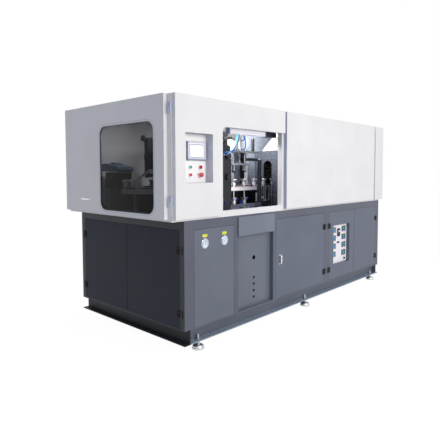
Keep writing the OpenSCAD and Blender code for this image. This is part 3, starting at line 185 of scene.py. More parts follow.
def textured(name, colours, rough, sizes, relief=None, fade=(0.35, 0.65), squeeze=(1, 1, 1), layers=(),
             **surface):
    """A surface whose colour, roughness and relief follow noise of real sizes.

    sizes are those of the colour's patches, the roughness's smudges and the relief's grain, each in
    millimetres with its detail. Without rough or relief their sizes are left out. relief is the depth of the
    grain in millimetres and its strength. fade is where a patch turns from the first colour to the second.
    squeeze makes the noise that many times finer along each axis. layers are further pairs of colours, each
    with the axes and millimetres past which it covers the ones before. surface holds the Principled shader's
    own values.
    """
    material = bpy.data.materials.new(name)
    material.use_nodes = True
    shader = material.node_tree.nodes["Principled BSDF"]
    here = add(material, "ShaderNodeTexCoord").outputs["Object"]
    place = add(material, "ShaderNodeMapping", {"Vector": here, "Scale": squeeze}).outputs["Vector"]
    marks = []
    for millimetres, detail in sizes:
        noise = {"Vector": place, "Scale": 1000 / millimetres, "Detail": detail}
        marks.append(add(material, "ShaderNodeTexNoise", noise).outputs["Fac"])

    turn = {"Value": marks[0], "From Min": fade[0], "From Max": fade[1]}
    blend = add(material, "ShaderNodeMapRange", turn).outputs["Result"]
    colour = None
    for (low, high), borders in ((colours, {}), *layers):
        pair = {"Factor": blend, "A": linear(low), "B": linear(high)}
        tone = add(material, "ShaderNodeMix", pair, data_type="RGBA").outputs["Result"]
        cover = 1.0
        for axis, border in borders.items():
            where = add(material, "ShaderNodeSeparateXYZ", {"Vector": here}).outputs[axis]
            edge = at(border, border, border)["XYZ".index(axis)]
            past = add(material, "ShaderNodeMath", {0: where, 1: edge}, operation="GREATER_THAN")
            both = add(material, "ShaderNodeMath", {0: past.outputs[0], 1: cover}, operation="MULTIPLY")
            cover = both.outputs[0]
        if colour:
            over = {"Factor": cover, "A": colour, "B": tone}
            tone = add(material, "ShaderNodeMix", over, data_type="RGBA").outputs["Result"]
        colour = tone

    wire(material, shader, {"Base Color": colour})
    if rough:
        worn = {"Value": marks[1], "From Min": 0.3, "From Max": 0.7, "To Min": rough[0], "To Max": rough[1]}
        wire(material, shader, {"Roughness": add(material, "ShaderNodeMapRange", worn).outputs["Result"]})
    if relief:
        pits = {"Height": marks[2], "Distance": relief[0] / 1000, "Strength": relief[1]}
        wire(material, shader, {"Normal": add(material, "ShaderNodeBump", pits).outputs["Normal"]})
    if "Emission_Strength" in surface:
        wire(material, shader, {"Emission Color": colour})
    wire(material, shader, {key.replace("_", " "): value for key, value in surface.items()})
    return material


def powder_coat(name, low, high, rough=(0.32, 0.44), sheen=0.5):
    """Polyester powder coat on steel sheet: baked smooth with a faint orange peel and a soft sheen.

    Real orange peel is 1 to 2 mm across; 5 mm is the finest that shows in the render.
    """
    return textured(name, (low, high), rough, ((420, 4), (90, 3), (5, 2)), (0.15, 0.12), IOR=1.5,
                    Specular_IOR_Level=sheen)


def metal(name, low, high, rough, grain, squeeze=(1, 1, 1)):
    """Bare or plated metal: bright, with grain of that many millimetres, finer along the squeezed axes.

    Brushing and milling marks are finer than a millimetre. They are drawn as coarse as they need to show.
    """
    return textured(name, (low, high), rough, ((grain, 4),) * 3, (0.05, 0.2), (0.3, 0.7), squeeze,
                    Metallic=1.0)


def plastic(name, low, high, rough, grain=3, depth=0.05):
    """Moulded plastic or rubber: even colour with the faint grain of its mould.

    A mould's grain is under half a millimetre; 3 mm is the finest that shows in the render.
    """
    return textured(name, (low, high), rough, ((60, 3), (25, 2), (grain, 2)), (depth, 0.2))


def glassy(name, low, high, rough, patch, ior, clear):
    """Polished clear sheet or tube: it mirrors a little at its face and tints what is seen through it."""
    return textured(name, (low, high), None, ((patch, 2),), Roughness=rough, IOR=ior,
                    Transmission_Weight=clear)


def lit(name, low, high, strength):
    """A face that shines by itself, with the faint unevenness of its diffuser."""
    return textured(name, (low, high), None, ((35, 2),), Roughness=0.3, Emission_Strength=strength)


def two_tone(name, near, axis, border, far, rough=(0.3, 0.42), metallic=0.0, sheen=0.5, blotch=25,
             above=None):
    """One part in two colours: near up to the border along the axis, in millimetres, and far beyond it.

    above is a height and a third pair of colours, for what lies beyond the border and over that height.
    """
    layers = [(far, {axis: border})]
    if above:
        layers.append((above[1], {axis: border, "Z": above[0]}))
    return textured(name, near, rough, ((blotch, 3), (blotch, 3), (4, 2)), (0.06, 0.15), layers=layers,
                    Metallic=metallic, Specular_IOR_Level=sheen)


# Sheet metal of the hood and the base: one white and one slate coat, with paler and darker relatives

HOOD_WHITE = powder_coat("white powder coat", "#E4E4E5", "#EAEAEB")
HEATER_WHITE = powder_coat("white heater panel enamel", "#EEEEF3", "#F4F4F8")
DOOR_SLATE = powder_coat("slate powder coat", "#606675", "#666C7B")
BAY_GREY = powder_coat("grey powder coat", "#6C7482", "#727B89")
HINGE_BLUE = powder_coat("blue grey hinge paint", "#AEBEE0", "#B8C8EA")
INNER_GREY = powder_coat("machine bed enamel", "#24272E", "#2D3038", (0.35, 0.5), 0.3)
WHITE_BLOCK = powder_coat("white cylinder enamel", "#E9E9EC", "#F2F2F4", (0.25, 0.35))
# Painted highlight: a pale rim stands for the light on the edge of the window's cut-out
RIM_HIGHLIGHT = powder_coat("pale grey painted highlight round a window", "#C6C9D3", "#CFD2DB")
SLATE_BLUE = powder_coat("blue grey drive enamel", "#56799A", "#6287A8")
BEAM_GREEN = powder_coat("grey green beam enamel", "#6E7268", "#7A7E73")

# The left end is coloured darker than the front, as painted shade, and the doors carry black hinge leaves on
# their outer faces

FRAME_FINISH = two_tone("slate frame paint, painted shade on the left end", ("#1F2229", "#252830"), "X", 0.5,
                        ("#595E6B", "#606572"), (0.4, 0.5), sheen=0.35, blotch=420)
# Painted shade on the plinth's left end, and painted light on its flange below 75 mm, paler as if lit from
# above
PLINTH_FINISH = two_tone("plinth enamel, dark on the left end, pale flange", ("#1C1F25", "#21242B"),
                         "X", 62.5, ("#8B99AB", "#96A4B5"), (0.45, 0.58), sheen=0.25, blotch=420,
                         above=(75, ("#5C626F", "#646A77")))
DOOR_LEAF = two_tone("slate door with black hinge leaves", ("#060608", "#0B0B0D"), "Y", -0.3,
                     ("#636979", "#696F7F"), (0.4, 0.5), sheen=0.25, blotch=420)
# Painted shade: the end doors are coloured darker than the front doors, as their shade; the black hinge
# leaves are their own colour
SHADED_END_LEAF = two_tone("dark slate door with black hinge leaves", ("#0E0E10", "#141416"), "X", -0.3,
                    ("#34373F", "#3A3D47"), (0.5, 0.6), sheen=0.1, blotch=420)
DOOR_FINISH = two_tone("white door with blue grey hinge knuckles", ("#AEBEE0", "#B8C8EA"), "Y", 30,
                       ("#E4E4E5", "#EAEAEB"), (0.32, 0.44), blotch=420)
# Painted light: the control box's back is whiter than the coat, partly its own laminate and partly to offset
# the shade in the recess
RECESS_WHITE = two_tone("white coat with a laminate back, whitened as painted light", ("#E4E4E5", "#EAEAEB"), "Y", 42.8,
                        ("#FAFAFB", "#FEFEFE"))

# Machined and plated metal: pale zinc on fasteners, satin aluminium on cylinders, bright nickel on the
# mandrels, and oven sheet that the heat has turned blue

ZINC = metal("zinc plated steel", "#B9BCC2", "#D2D5DA", (0.28, 0.42), 14)
MACHINED = metal("machined steel", "#B4B7BC", "#D0D2D6", (0.2, 0.34), 6, (1, 12, 1))
POLISHED = metal("bright nickel plate", "#F0F1F4", "#FAFAFC", (0.3, 0.45), 60)
BRUSHED = metal("brushed stainless steel", "#C4C6CA", "#DADCDF", (0.24, 0.36), 2, (20, 20, 1))
CHROME_SATIN = metal("satin chrome", "#EDEFF2", "#F8F9FB", (0.3, 0.42), 200, (1, 1, 0.2))
GAUGE_CHROME = metal("chromed brass", "#C9D2E2", "#DDE4F0", (0.08, 0.14), 40)
ALUMINIUM = metal("anodised aluminium", "#D9DBDF", "#E6E7EA", (0.35, 0.45), 10, (1, 1, 8))
BLACK_ANODISED = metal("dark anodised aluminium", "#43454D", "#50525B", (0.3, 0.42), 10, (1, 1, 8))
MOULD_ALUMINIUM = metal("milled aluminium", "#B4B7BC", "#CCCED2", (0.22, 0.36), 12, (1, 1, 10))
OVEN_STEEL = two_tone("bare guard sheets, blued oven sheet", ("#8E98A8", "#B4BCC9"), "X", 1776,
                      ("#4A4E59", "#686D79"), (0.4, 0.55), 0.15, above=(1700, ("#A9B4C4", "#CBD3DF")))
STATION_FINISH = two_tone("painted sill, anodised posts", ("#646B79", "#6F7685"), "Z", 1127,
                          ("#30323A", "#3B3D46"), metallic=0.3)
RAIL_FINISH = two_tone("white rail, bare beyond the station", ("#E8E8EA", "#F0F0F2"), "X", 1545,
                       ("#50545E", "#5C616C"))
NOZZLE_FINISH = two_tone("black nozzle tips, grey plate", ("#141417", "#1D1D21"), "Z", 1467,
                         ("#8E93A0", "#A0A5B2"), (0.25, 0.4), 0.5)

# Controls: coloured caps that end in chrome sleeves or a black base

CHROME_SLEEVE = ("#E2E4E8", "#ECEDF0")
START_CAP = two_tone("green lens in a chrome sleeve", ("#1A9A88", "#27AF9C"), "Y", 29, CHROME_SLEEVE)
STOP_CAP = two_tone("red lens in a chrome sleeve", ("#DB3340", "#E84552"), "Y", 29, CHROME_SLEEVE)
SELECTOR_CAP = two_tone("red knob on a black base", ("#C81E2B", "#D92B38"), "Y", 30, ("#1A1A20", "#25252C"))
MUSHROOM_CAP = two_tone("red mushroom on a rose sleeve", ("#D3303B", "#E0404B"), "Y", 34,
                        ("#C9A6B0", "#D6B6BF"))
COLLAR_GREY = plastic("pale grey polyamide", "#EEEFF2", "#F4F4F6", (0.3, 0.4))
LABEL_GREY = plastic("engraved laminate", "#D9CDD6", "#E2D8E0", (0.4, 0.5))

# Touch screen, gauges and controllers: matt mouldings round displays that shine faintly by themselves

BEZEL_BLUE = plastic("blue grey ABS", "#5B6A80", "#65748A", (0.4, 0.5))
BEZEL_FACE = plastic("lavender ABS", "#CDCEE3", "#D6D7EA", (0.3, 0.4))
BEZEL_LINE = plastic("grey ABS", "#A3A7C4", "#ACB0CC", (0.35, 0.45))
DISPLAY = lit("display film", "#F4F4FA", "#F8F8FC", 0.1)
LCD_TEAL = lit("teal liquid crystal film", "#2F8C86", "#3FA39A", 0.15)
LCD_BLUE = lit("blue liquid crystal film", "#2B6FC4", "#3A82D6", 0.15)
DIFFUSER = lit("opal acrylic", "#E4E2EB", "#EDECF3", 0.45)
DIAL_WHITE = plastic("dial enamel", "#DDE6F2", "#E8EEF8", (0.25, 0.35))
DIAL_INK = plastic("grey dial ink", "#98A5BA", "#A4B0C4", (0.5, 0.6))
NEEDLE_BLUE = plastic("blue dial ink", "#7693BC", "#819EC6", (0.4, 0.5))
PLATE_YELLOW = plastic("yellow laminate", "#DFE02A", "#E9E83A", (0.35, 0.45))
BROWN = plastic("brown phenolic", "#7A4A3A", "#8C5A48", (0.4, 0.5))

# Plastic and rubber: matt black mouldings, grey breakers, the red strip, blue fittings and hoses, and
# lavender and slate sheets that are painted shade on the control box's returns and in a gap

BLACK_ABS = plastic("black ABS", "#141416", "#1B1B1E", (0.35, 0.5))
BLACK_PLASTIC = plastic("black polyamide", "#101013", "#17171A", (0.35, 0.5))
BLACK_ENAMEL = plastic("black enamel", "#060608", "#0B0B0D", (0.55, 0.65))
RUBBER = plastic("black rubber", "#121213", "#1C1C1E", (0.6, 0.75), 4, 0.1)
SWITCHGEAR_GREY = plastic("grey breaker case", "#3C4654", "#485362", (0.4, 0.5))
# Painted shade: these two colours stand for the shade on the control box's returns
SIDE_RETURN_SHADE = plastic("lavender grey painted shade on a return", "#C9CDD9", "#D0D4DF", (0.45, 0.55))
END_RETURN_SHADE = plastic("slate painted shade on a return", "#9DA2AE", "#A5AAB6", (0.5, 0.6))
# Painted shade: a slate strip stands for the shade in the gap beside the front cover
GAP_SHADE = plastic("slate painted shade in a gap", "#A9AEC2", "#B0B5C8", (0.5, 0.6))
RED_STRIP = plastic("red polyurethane", "#B04A48", "#C25E58", (0.4, 0.5))
FITTING_BLUE = plastic("blue acetal", "#1B2FA8", "#2840C4", (0.25, 0.35))
HOSE_BLUE = plastic("blue polyurethane hose", "#0F57A2", "#1A66B1", (0.35, 0.45))

# Clear parts. The window's IOR is low because its anti-glare face mirrors far less than bare acrylic at 1.49.

SMOKED_ACRYLIC = glassy("smoked acrylic", "#77777A", "#7E7E81", 0.04, 500, 1.14, 1.0)
QUARTZ = glassy("coated quartz glass", "#D8C9A8", "#EBDFC4", 0.15, 30, 1.46, 0.5)

FINISH = {
    HOOD_WHITE: ["operator_panel", "front_cover", "corner_cover", "plain_covers", "roof", "hood_frame",
                 "work_lamp"],
    DOOR_FINISH: ["window_door"],
    HINGE_BLUE: ["corner_hinges"],
    RUBBER: ["window_seal"],
    SMOKED_ACRYLIC: ["window_pane"],
    CHROME_SATIN: ["door_pull", "front_door_handle"],
    PLINTH_FINISH: ["plinth"],
    ZINC: ["foot_pads", "foot_bolts", "mounting_plate"],
    FRAME_FINISH: ["base_frame", "base_posts", "deck_plate"],
    DOOR_SLATE: ["gauge_panel", "bay_panel", "fixed_panels", "air_receiver"],
    BAY_GREY: ["bay_hood"],
    DOOR_LEAF: ["front_door", "cabinet_door_left", "cabinet_door_right"],
    SHADED_END_LEAF: ["end_door_front", "end_door_rear"],
    BLACK_ENAMEL: ["base_hinges"],
    GAUGE_CHROME: ["gauge_cases"],
    NEEDLE_BLUE: ["gauge_needle_left", "gauge_needle_right"],
    HEATER_WHITE: ["heater_panel"],
    BLACK_ABS: ["heat_controllers", "heater_knob"],
    SWITCHGEAR_GREY: ["switchgear"],
    RECESS_WHITE: ["control_box"],
    BEZEL_BLUE: ["touch_screen"],
    COLLAR_GREY: ["switch_collars"],
    START_CAP: ["start_button"],
    STOP_CAP: ["stop_button"],
    SELECTOR_CAP: ["selector_switch"],
    MUSHROOM_CAP: ["emergency_stop"],
    BLACK_ANODISED: ["lamp_box"],
    STATION_FINISH: ["station_frame"],
    MACHINED: ["cylinder_plate"],
    ALUMINIUM: ["stretch_cylinders", "ejector_cylinders"],
    NOZZLE_FINISH: ["nozzle_plate"],
    POLISHED: ["mandrel_chain"],
    RAIL_FINISH: ["chain_rail"],
    INNER_GREY: ["clamp_frame", "chain_wheels"],
    MOULD_ALUMINIUM: ["front_clamp_half", "rear_clamp_half"],
    OVEN_STEEL: ["oven_housing"],
    QUARTZ: ["oven_lamps"],
}
for finish, names in FINISH.items():
    for name in names:
        nodes[name].data.materials.clear()
        nodes[name].data.materials.append(finish)


# Camera: the photograph's own view, solved from the straight edges of the base and the hood


def make_camera():
    """The lens is shifted, because the photograph's middle isn't where its camera pointed."""
    data = bpy.data.cameras.new("camera")
    data.sensor_width = 36
    data.lens = 36.44
    data.shift_x = -0.0492
    data.shift_y = -0.0544
    camera = bpy.data.objects.new("camera", data)
    camera.location = (-3.9741, -3.4131, 1.4564)
    camera.rotation_euler = (math.radians(90 - 3.12), 0, math.radians(-48.51))
    bpy.context.scene.collection.objects.link(camera)
    bpy.context.scene.camera = camera


# Air hoses: stiff tubes from the clamp's front plate to the ports of the stretch cylinder

HOSE_DIA = 12
LOWER_HOSE = [(740, 299.7, 1634), (740, 290, 1634), (741, 280, 1634), (748, 264, 1636), (764, 251, 1640),
              (790, 246, 1648), (840, 254, 1668), (915, 296, 1702), (990, 344, 1752), (1060, 388, 1808),
              (1110, 415, 1846), (1155, 435, 1872), (1190, 446, 1878), (1222, 455, 1866), (1247, 462, 1840),
              (1264, 468, 1805), (1274, 472, 1765), (1279, 477, 1732), (1283, 486, 1712), (1286, 500, 1698),
              (1288, 518, 1691), (1289, 530, 1690), (1289, 539.7, 1690)]
UPPER_HOSE = [(762, 299.7, 1616), (762, 290, 1616), (764.5, 278, 1616.5), (771, 267, 1618.5),
              (781, 259.5, 1623), (794, 256, 1630), (816, 257, 1640.5), (856, 266, 1655), (918, 300, 1684),
              (990, 350, 1733), (1058, 396, 1788), (1108, 422, 1822), (1150, 441, 1840), (1185, 454, 1846),
              (1218, 463, 1842), (1244, 470, 1831), (1263, 478, 1817), (1276, 489, 1803), (1284, 503, 1794),
              (1288, 519, 1790.5), (1289, 530, 1790), (1289, 539.7, 1790)]


def hose_curve(name, route):
    """A swept round hose through the points of its route."""
    curve = bpy.data.curves.new(name, "CURVE")
    curve.dimensions = "3D"
    curve.bevel_depth = HOSE_DIA / 2000
    curve.bevel_resolution = 5
    curve.resolution_u = 6
    curve.use_fill_caps = True
    spline = curve.splines.new("BEZIER")
    spline.bezier_points.add(len(route) - 1)
    for knot, point in zip(spline.bezier_points, route):
        knot.co = at(*point)
        knot.handle_left_type = knot.handle_right_type = "AUTO"
    curve.materials.append(HOSE_BLUE)
    hose = bpy.data.objects.new(name, curve)
    bpy.context.scene.collection.objects.link(hose)
    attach(hose, "machine")
    return hose


def air_hoses():
    """Both hoses, each swept along its route from its first point on, and the nuts on the clamp's plate."""
    for name, route in (("lower_air_hose", LOWER_HOSE), ("upper_air_hose", UPPER_HOSE)):
        hose = hose_curve(name, route)
        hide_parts("air_hoses")
    nuts = bmesh.new()
    for route in (LOWER_HOSE, UPPER_HOSE):
        outline = [(6.2, 0), (9.5, 0), (9.5, 9), (7.5, 12), (6.2, 12)]
        turned(nuts, outline, route[0], FRONT, 20, closed=True)
    put("hose_nuts", nuts, ZINC)


# Operator's side: the touch screen's face, painted shade on the control box's returns, label plates, gauges,
# controllers and screws


def touch_screen():
    """A bezel's face, the display film with the frame of its picture, and a sill below."""
    (x0, y0, z0), (x1, _, z1) = span("touch_screen")
    face = bmesh.new()
    round_plate(face, (x0 + 1, y0 - 1.2, z0 + 1), (x1 - 1, y0 - 0.1, z1 - 1), 5, FRONT, rim=10.5)
    put("screen_face", face, BEZEL_FACE)
    film = bmesh.new()
    round_plate(film, (x0 + 12, y0 + 0.2, z0 + 14), (x1 - 12, y0 + 0.8, z1 - 12), 1.5, FRONT)
    put("screen_display", film, DISPLAY)
    lines = bmesh.new()
    round_plate(lines, (x0 + 17, y0 - 0.3, z0 + 18), (x1 - 17, y0 + 0.3, z1 - 21), 3, FRONT, rim=6.5)
    put("screen_lines", lines, BEZEL_LINE)
    sill = bmesh.new()
    block(sill, (x0, y0 - 1.6, z0), (x1, y0 - 0.2, z0 + 6.5))
    put("screen_sill", sill, BEZEL_BLUE)


def recess_shades():
    """Thin sheets on the returns of the control box, coloured as painted shade: one on its right, one above
    and one below.
    """
    (x0, y0, z0), (x1, y1, z1) = span("control_box")
    wall, front, back = 14, y0 + 0.5, y1 - 2
    side = bmesh.new()
    block(side, (x1 - wall - 1, front, z0 + wall), (x1 - wall, back, z1 - wall), 0.2)
    put("recess_side_shade", side, SIDE_RETURN_SHADE)
    ends = bmesh.new()
    for z in (z0 + wall, z1 - wall - 1):
        block(ends, (x0 + wall, front, z), (x1 - wall - 1, back, z + 1), 0.2)
    put("recess_end_shades", ends, END_RETURN_SHADE)


def label_plates():
    """A blank engraved plate under each of the four controls."""
    (x0, y0, z0), (x1, _, z1) = span("switch_collars")
    r = 15
    mesh = bmesh.new()
    for x in (x0 + r, x1 - r):
        for z in (z0 + r, z1 - r):
            block(mesh, (x - 11, y0 + 7.3, z - 26), (x + 11, y0 + 8, z - 21), 0.2, 1)
    put("switch_labels", mesh, LABEL_GREY)


def gauge(name, x, z):
    """A dial with its scale and the needle's hub."""
    y = -3.05
    dial = bmesh.new()
    turned(dial, [(0, 0.4), (28.2, 0.4), (28.5, 0), (0, 0)], (x, y, z), FRONT, 48)
    put(f"{name}_dial", dial, DIAL_WHITE)
    scale = bmesh.new()
    ticks, sweep, reach = 31, 270, 22.5
    for i in range(ticks):
        wide, tall = (1.5, 6) if i % 5 == 0 else (0.8, 3.5)
        turn = Matrix.Rotation(math.radians(sweep * (i / (ticks - 1) - 0.5)), 4, "Y")
        shape = (Matrix.Translation(at(x, y - 0.45, z)) @ turn @ Matrix.Translation((0, 0, reach / 1000))
                 @ Matrix.Diagonal((wide / 1000, 0.3 / 1000, tall / 1000, 1)))
        bmesh.ops.create_cube(scale, size=1, matrix=shape)
    turned(scale, [(0, 2), (2.4, 1.8), (2.8, 0), (0, 0)], (x, y - 1.85, z), FRONT, 20)
    put(f"{name}_ticks", scale, DIAL_INK)


def gauges():
    """Both dials, and over each a blank yellow tag on two rivets."""
    (x0, _, z0), (x1, _, _) = span("gauge_cases")
    r = 40.5
    for name, x in (("left_gauge", x0 + r), ("right_gauge", x1 - r)):
        gauge(name, x, z0 + r)
        tag = bmesh.new()
        block(tag, (x - 27, -1, z0 + 93), (x + 27, 0, z0 + 117), 0.4)
        put(f"{name}_plate", tag, PLATE_YELLOW)
        screws(f"{name}_rivets", [(x + side * 23, -1, z0 + 105) for side in (-1, 1)], FRONT, 1.6, ZINC)


def hose_grommets():
    """Rubber rings in the service panel's holes, and the black shield behind them."""
    x, y = 899, span("bay_panel")[1][1] - 2
    holes = [(651, 19)] + [(275 + 62.5 * i, 11) for i in range(4)]
    rings = bmesh.new()
    for z, bore in holes:
        outline = [(bore - 0.8, -3), (bore - 0.8, 0.6), (bore, 1.4), (bore + 1.4, 1), (bore + 1.8, 0),
                   (bore - 0.2, 0), (bore - 0.2, -3)]
        turned(rings, outline, (x, y, z), FRONT, 32, closed=True)
    put("hose_grommets", rings, RUBBER)
    shield = bmesh.new()
    block(shield, (x - 50, 78, 230), (x + 50, 80, 690), 0.5)
    for z in (238, 670):
        block(shield, (x - 46, 42, z), (x + 46, 79, z + 12), 0.5)
    put("hose_shield", shield, BLACK_PLASTIC)


def heater_controls():
    """The faces of the eight controllers, each with two displays, a brown side and four keys."""
    door = "cabinet_door_left"
    (x0, _, z0), (x1, _, z1) = span("heat_controllers")
    panel_y = span("heater_panel")[0][1]
    w, h, pitch, face_y = 84, 64, 97, 35.4
    faces, windows, bars, sides, keys = (bmesh.new() for _ in range(5))
    for x in (x0, x1 - w):
        for row in range(4):
            top = z1 - row * pitch
            block(faces, (x + 2, face_y - 0.1, top - h + 2), (x + w - 2, face_y + 0.7, top - 2), 0.3)
            block(windows, (x + 8, face_y - 0.7, top - 30), (x + w - 22, face_y, top - 8), 0.3)
            block(bars, (x + 8, face_y - 0.7, top - 50), (x + w - 22, face_y, top - 33), 0.3)
            block(sides, (x + w - 18, face_y - 0.7, top - h + 7), (x + w - 8, face_y, top - 8), 0.3)
            for key in range(4):
                left = x + 8 + 14 * key
                block(keys, (left, face_y - 1.1, top - 60), (left + 9, face_y, top - 54), 0.4)
    put("controller_back", faces, BLACK_PLASTIC, door)
    put("controller_windows", windows, LCD_TEAL, door)
    put("controller_bars", bars, LCD_BLUE, door)
    put("controller_sides", sides, BROWN, door)
    put("controller_keys", keys, LABEL_GREY, door)
    levers = bmesh.new()
    for i in range(3):
        left = (x0 + x1) / 2 - 30 + 17 * i
        block(levers, (left, 22, z1 - 62), (left + 10, 30, z1 - 40), 1.5)
    put("breaker_levers", levers, DIAL_WHITE, door)
    lamp = bmesh.new()
    turned(lamp, [(0, 6), (6, 5), (8, 2), (8, 0), (0, 0)], (x0 + 22, panel_y, z0 - 42), FRONT, 20)
    put("heater_lamp", lamp, LCD_BLUE, door)
    corners = [(x, panel_y, z) for x in (x0 - 26, x1 + 26) for z in (z0 - 70, z1 + 18)]
    screws("heater_panel_screws", corners, FRONT, 4, ZINC, door)


def hinge_screws():
    """Four black screws in each leaf pair: two that stay with the frame and two that go with the door."""
    off, rise, face = 17.9, 20, -4
    levels = [BASE_Z + hinge + up for hinge in (130, 643) for up in (-rise, rise)]
    front_hinges = (("front_door", 2100, -1), ("cabinet_door_left", 2204, 1),
                    ("cabinet_door_right", 3427, -1))
    fixed = []
    for door, x, side in front_hinges:
        fixed += [(x - side * off, face, z) for z in levels]
        moving = [(x + side * off, face, z) for z in levels]
        screws(f"{door}_hinge_screws", moving, FRONT, 3, BLACK_PLASTIC, door)
    screws("front_hinge_screws", fixed, FRONT, 3, BLACK_PLASTIC)
    fixed = []
    for door, y, side in (("end_door_front", 55, 1), ("end_door_rear", 1505, -1)):
        fixed += [(face, y - side * off, z) for z in levels]
        moving = [(face, y + side * off, z) for z in levels]
        screws(f"{door}_hinge_screws", moving, LEFT, 3, BLACK_PLASTIC, door)
    screws("end_hinge_screws", fixed, LEFT, 3, BLACK_PLASTIC)


# Working opening: the lamp's diffuser, the station's fittings, guides, the rail's wear strip and sheet edges


def work_lamp():
    """An opal diffuser on the lamp's front and underside, between two end caps."""
    (x0, _, z0), (x1, y1, _) = span("work_lamp")
    front, h, cap = 90, 50, 10
    mesh = bmesh.new()
    block(mesh, (x0 + cap, front - 1.5, z0 + 6), (x1 - cap, front + 0.2, z0 + h - 6))
    block(mesh, (x0 + cap, front + 6, z0 - 1), (x1 - cap, y1 - 6, z0 + 0.2), 0.4)
    put("lamp_diffuser", mesh, DIFFUSER)
    ends = bmesh.new()
    for x in (x0, x1 - cap):
        block(ends, (x - 0.5, front - 3, z0 - 2), (x + cap, y1 + 1, z0 + h + 1), 2)
    put("lamp_ends", ends, HINGE_BLUE)


def station_details():
    """On the cylinder plate: column sleeve, valves with their coils, port fittings and bush nuts."""
    x0 = span("cylinder_plate")[0][0]
    top = span("stretch_cylinders")[0][2]
    sleeve = bmesh.new()
    outline = [(16.1, 1), (17.5, 1), (17.5, 140), (16.1, 140)]
    turned(sleeve, outline, (x0 + 394, RUN_Y - 10, top), UP, closed=True)
    put("column_sleeve", sleeve, BLACK_PLASTIC)
    valves = bmesh.new()
    block(valves, (x0 + 4, RUN_Y - 36, top), (x0 + 38, RUN_Y + 8, top + 112), 2)
    block(valves, (x0 + 46, RUN_Y + 14, top), (x0 + 60, RUN_Y + 30, top + 96), 2)
    put("stretch_valve", valves, WHITE_BLOCK)
    coils = bmesh.new()
    block(coils, (x0 + 8, RUN_Y - 32, top + 112), (x0 + 34, RUN_Y + 4, top + 140), 3)
    for x, rise in ((88, 118), (180, 122)):
        turned(coils, [(0, 12), (10, 12), (14, 9), (14, 0), (0, 0)], (x0 + x, RUN_Y, top + rise), UP, 24)
    put("valve_coils", coils, BLACK_PLASTIC)
    ports = bmesh.new()
    for x, y, z in ((88, -37, 11), (88, -37, 107), (180, -30, 11), (180, -30, 111)):
        outline = [(8.2, -4), (8.2, 6), (7.2, 12), (6.2, 12), (6.2, -4)]
        turned(ports, outline, (x0 + x, RUN_Y + y, top + z), FRONT, 20, closed=True)
    put("port_fittings", ports, BLACK_PLASTIC)
    nuts = bmesh.new()
    for x in (40, 280):
        turned(nuts, [(8.1, 0), (16, 0), (16, 12), (8.1, 12)], (x0 + x, RUN_Y, top + 18.2), UP, 6,
               closed=True)
    put("bush_nuts", nuts, ZINC)


def post_caps():
    """Caps on the two front posts of the station, and feet either side of them on the deck."""
    y0, top = span("station_frame")[0][1], 1585
    caps = bmesh.new()
    feet = bmesh.new()
    for x in POST_X:
        block(caps, (x + 0.5, y0 + 0.5, top), (x + POST - 0.5, y0 + POST - 0.5, top + 5), 1.5)
        for left in (x - 26, x + POST + 4):
            block(feet, (left, y0, DECK + 0.2), (left + 22, y0 + POST, DECK + 8), 1)
    put("post_caps", caps, HINGE_BLUE)
    put("post_feet", feet, ZINC)


def lower_fittings():
    """Round the ejector cylinders: blue push-in fittings, a bank of valves, and the preforms' guides."""
    ejectors, ports = (1197, 1365), (1081, 1167)
    places = [(x, 534, z) for z in ports for x in ejectors]
    blue = bmesh.new()
    for place in places + [(776, 300, 1159), (1450, 540, 1308)]:
        turned(blue, [(0, 16), (6, 16), (9, 12), (9, 2), (7, 0), (0, 0)], place, FRONT, 20)
    block(blue, (1256, 524, DECK + 48), (1272, 540, DECK + 74), 3)
    put("blue_fittings", blue, FITTING_BLUE)
    bank = bmesh.new()
    block(bank, (1246, 515, DECK), (1284, 560, DECK + 48), 2)
    for x in range(1460, 1680, 44):
        block(bank, (x, 452, DECK), (x + 36, 500, DECK + 62), 2)
    put("valve_bank", bank, BLACK_PLASTIC)
    guides = bmesh.new()
    for x, y, z, w, h in ((1455, 470, 1132, 12, 96), (1540, 486, 1160, 70, 22), (1590, 474, 1132, 60, 12),
                          (1700, 490, 1140, 16, 80), (1745, 486, 1190, 30, 16), (1560, 500, 1300, 50, 14),
                          (1625, 506, 1312, 30, 22)):
        block(guides, (x, y, z), (x + w, y + 14, z + h), 1.5)
    put("preform_guides", guides, ALUMINIUM)
    stands = bmesh.new()
    for x in (1562, 1610, 1640, 1706, 1756):
        block(stands, (x, 490, DECK), (x + 8, 498, 1300), 1)
    put("guide_stands", stands, ZINC)


def air_treatment():
    """Filter, regulator and lubricator behind the station: dark bowls on a pale rail."""
    left, right, y, neck, head = 1284, 1368, 796, 1780, 1822
    mesh = bmesh.new()
    for x in (1298, 1322, 1346):
        block(mesh, (x - 9, y - 16, neck), (x + 9, y + 16, head), 3)
        turned(mesh, [(0, -46), (7, -44), (8.5, -36), (8.5, 0), (0, 0)], (x, y, neck), UP, 20)
        turned(mesh, [(0, 26), (6, 26), (7.5, 22), (7.5, 0), (0, 0)], (x, y, head), UP, 20)
    block(mesh, (left, y + 19, 1640), (right, y + 34, 1900), 2)
    put("air_treatment", mesh, BLACK_PLASTIC)
    rail = bmesh.new()
    block(rail, (left, y + 16, neck + 10), (right, y + 19.2, head - 10), 1)
    put("air_treatment_rail", rail, ALUMINIUM)


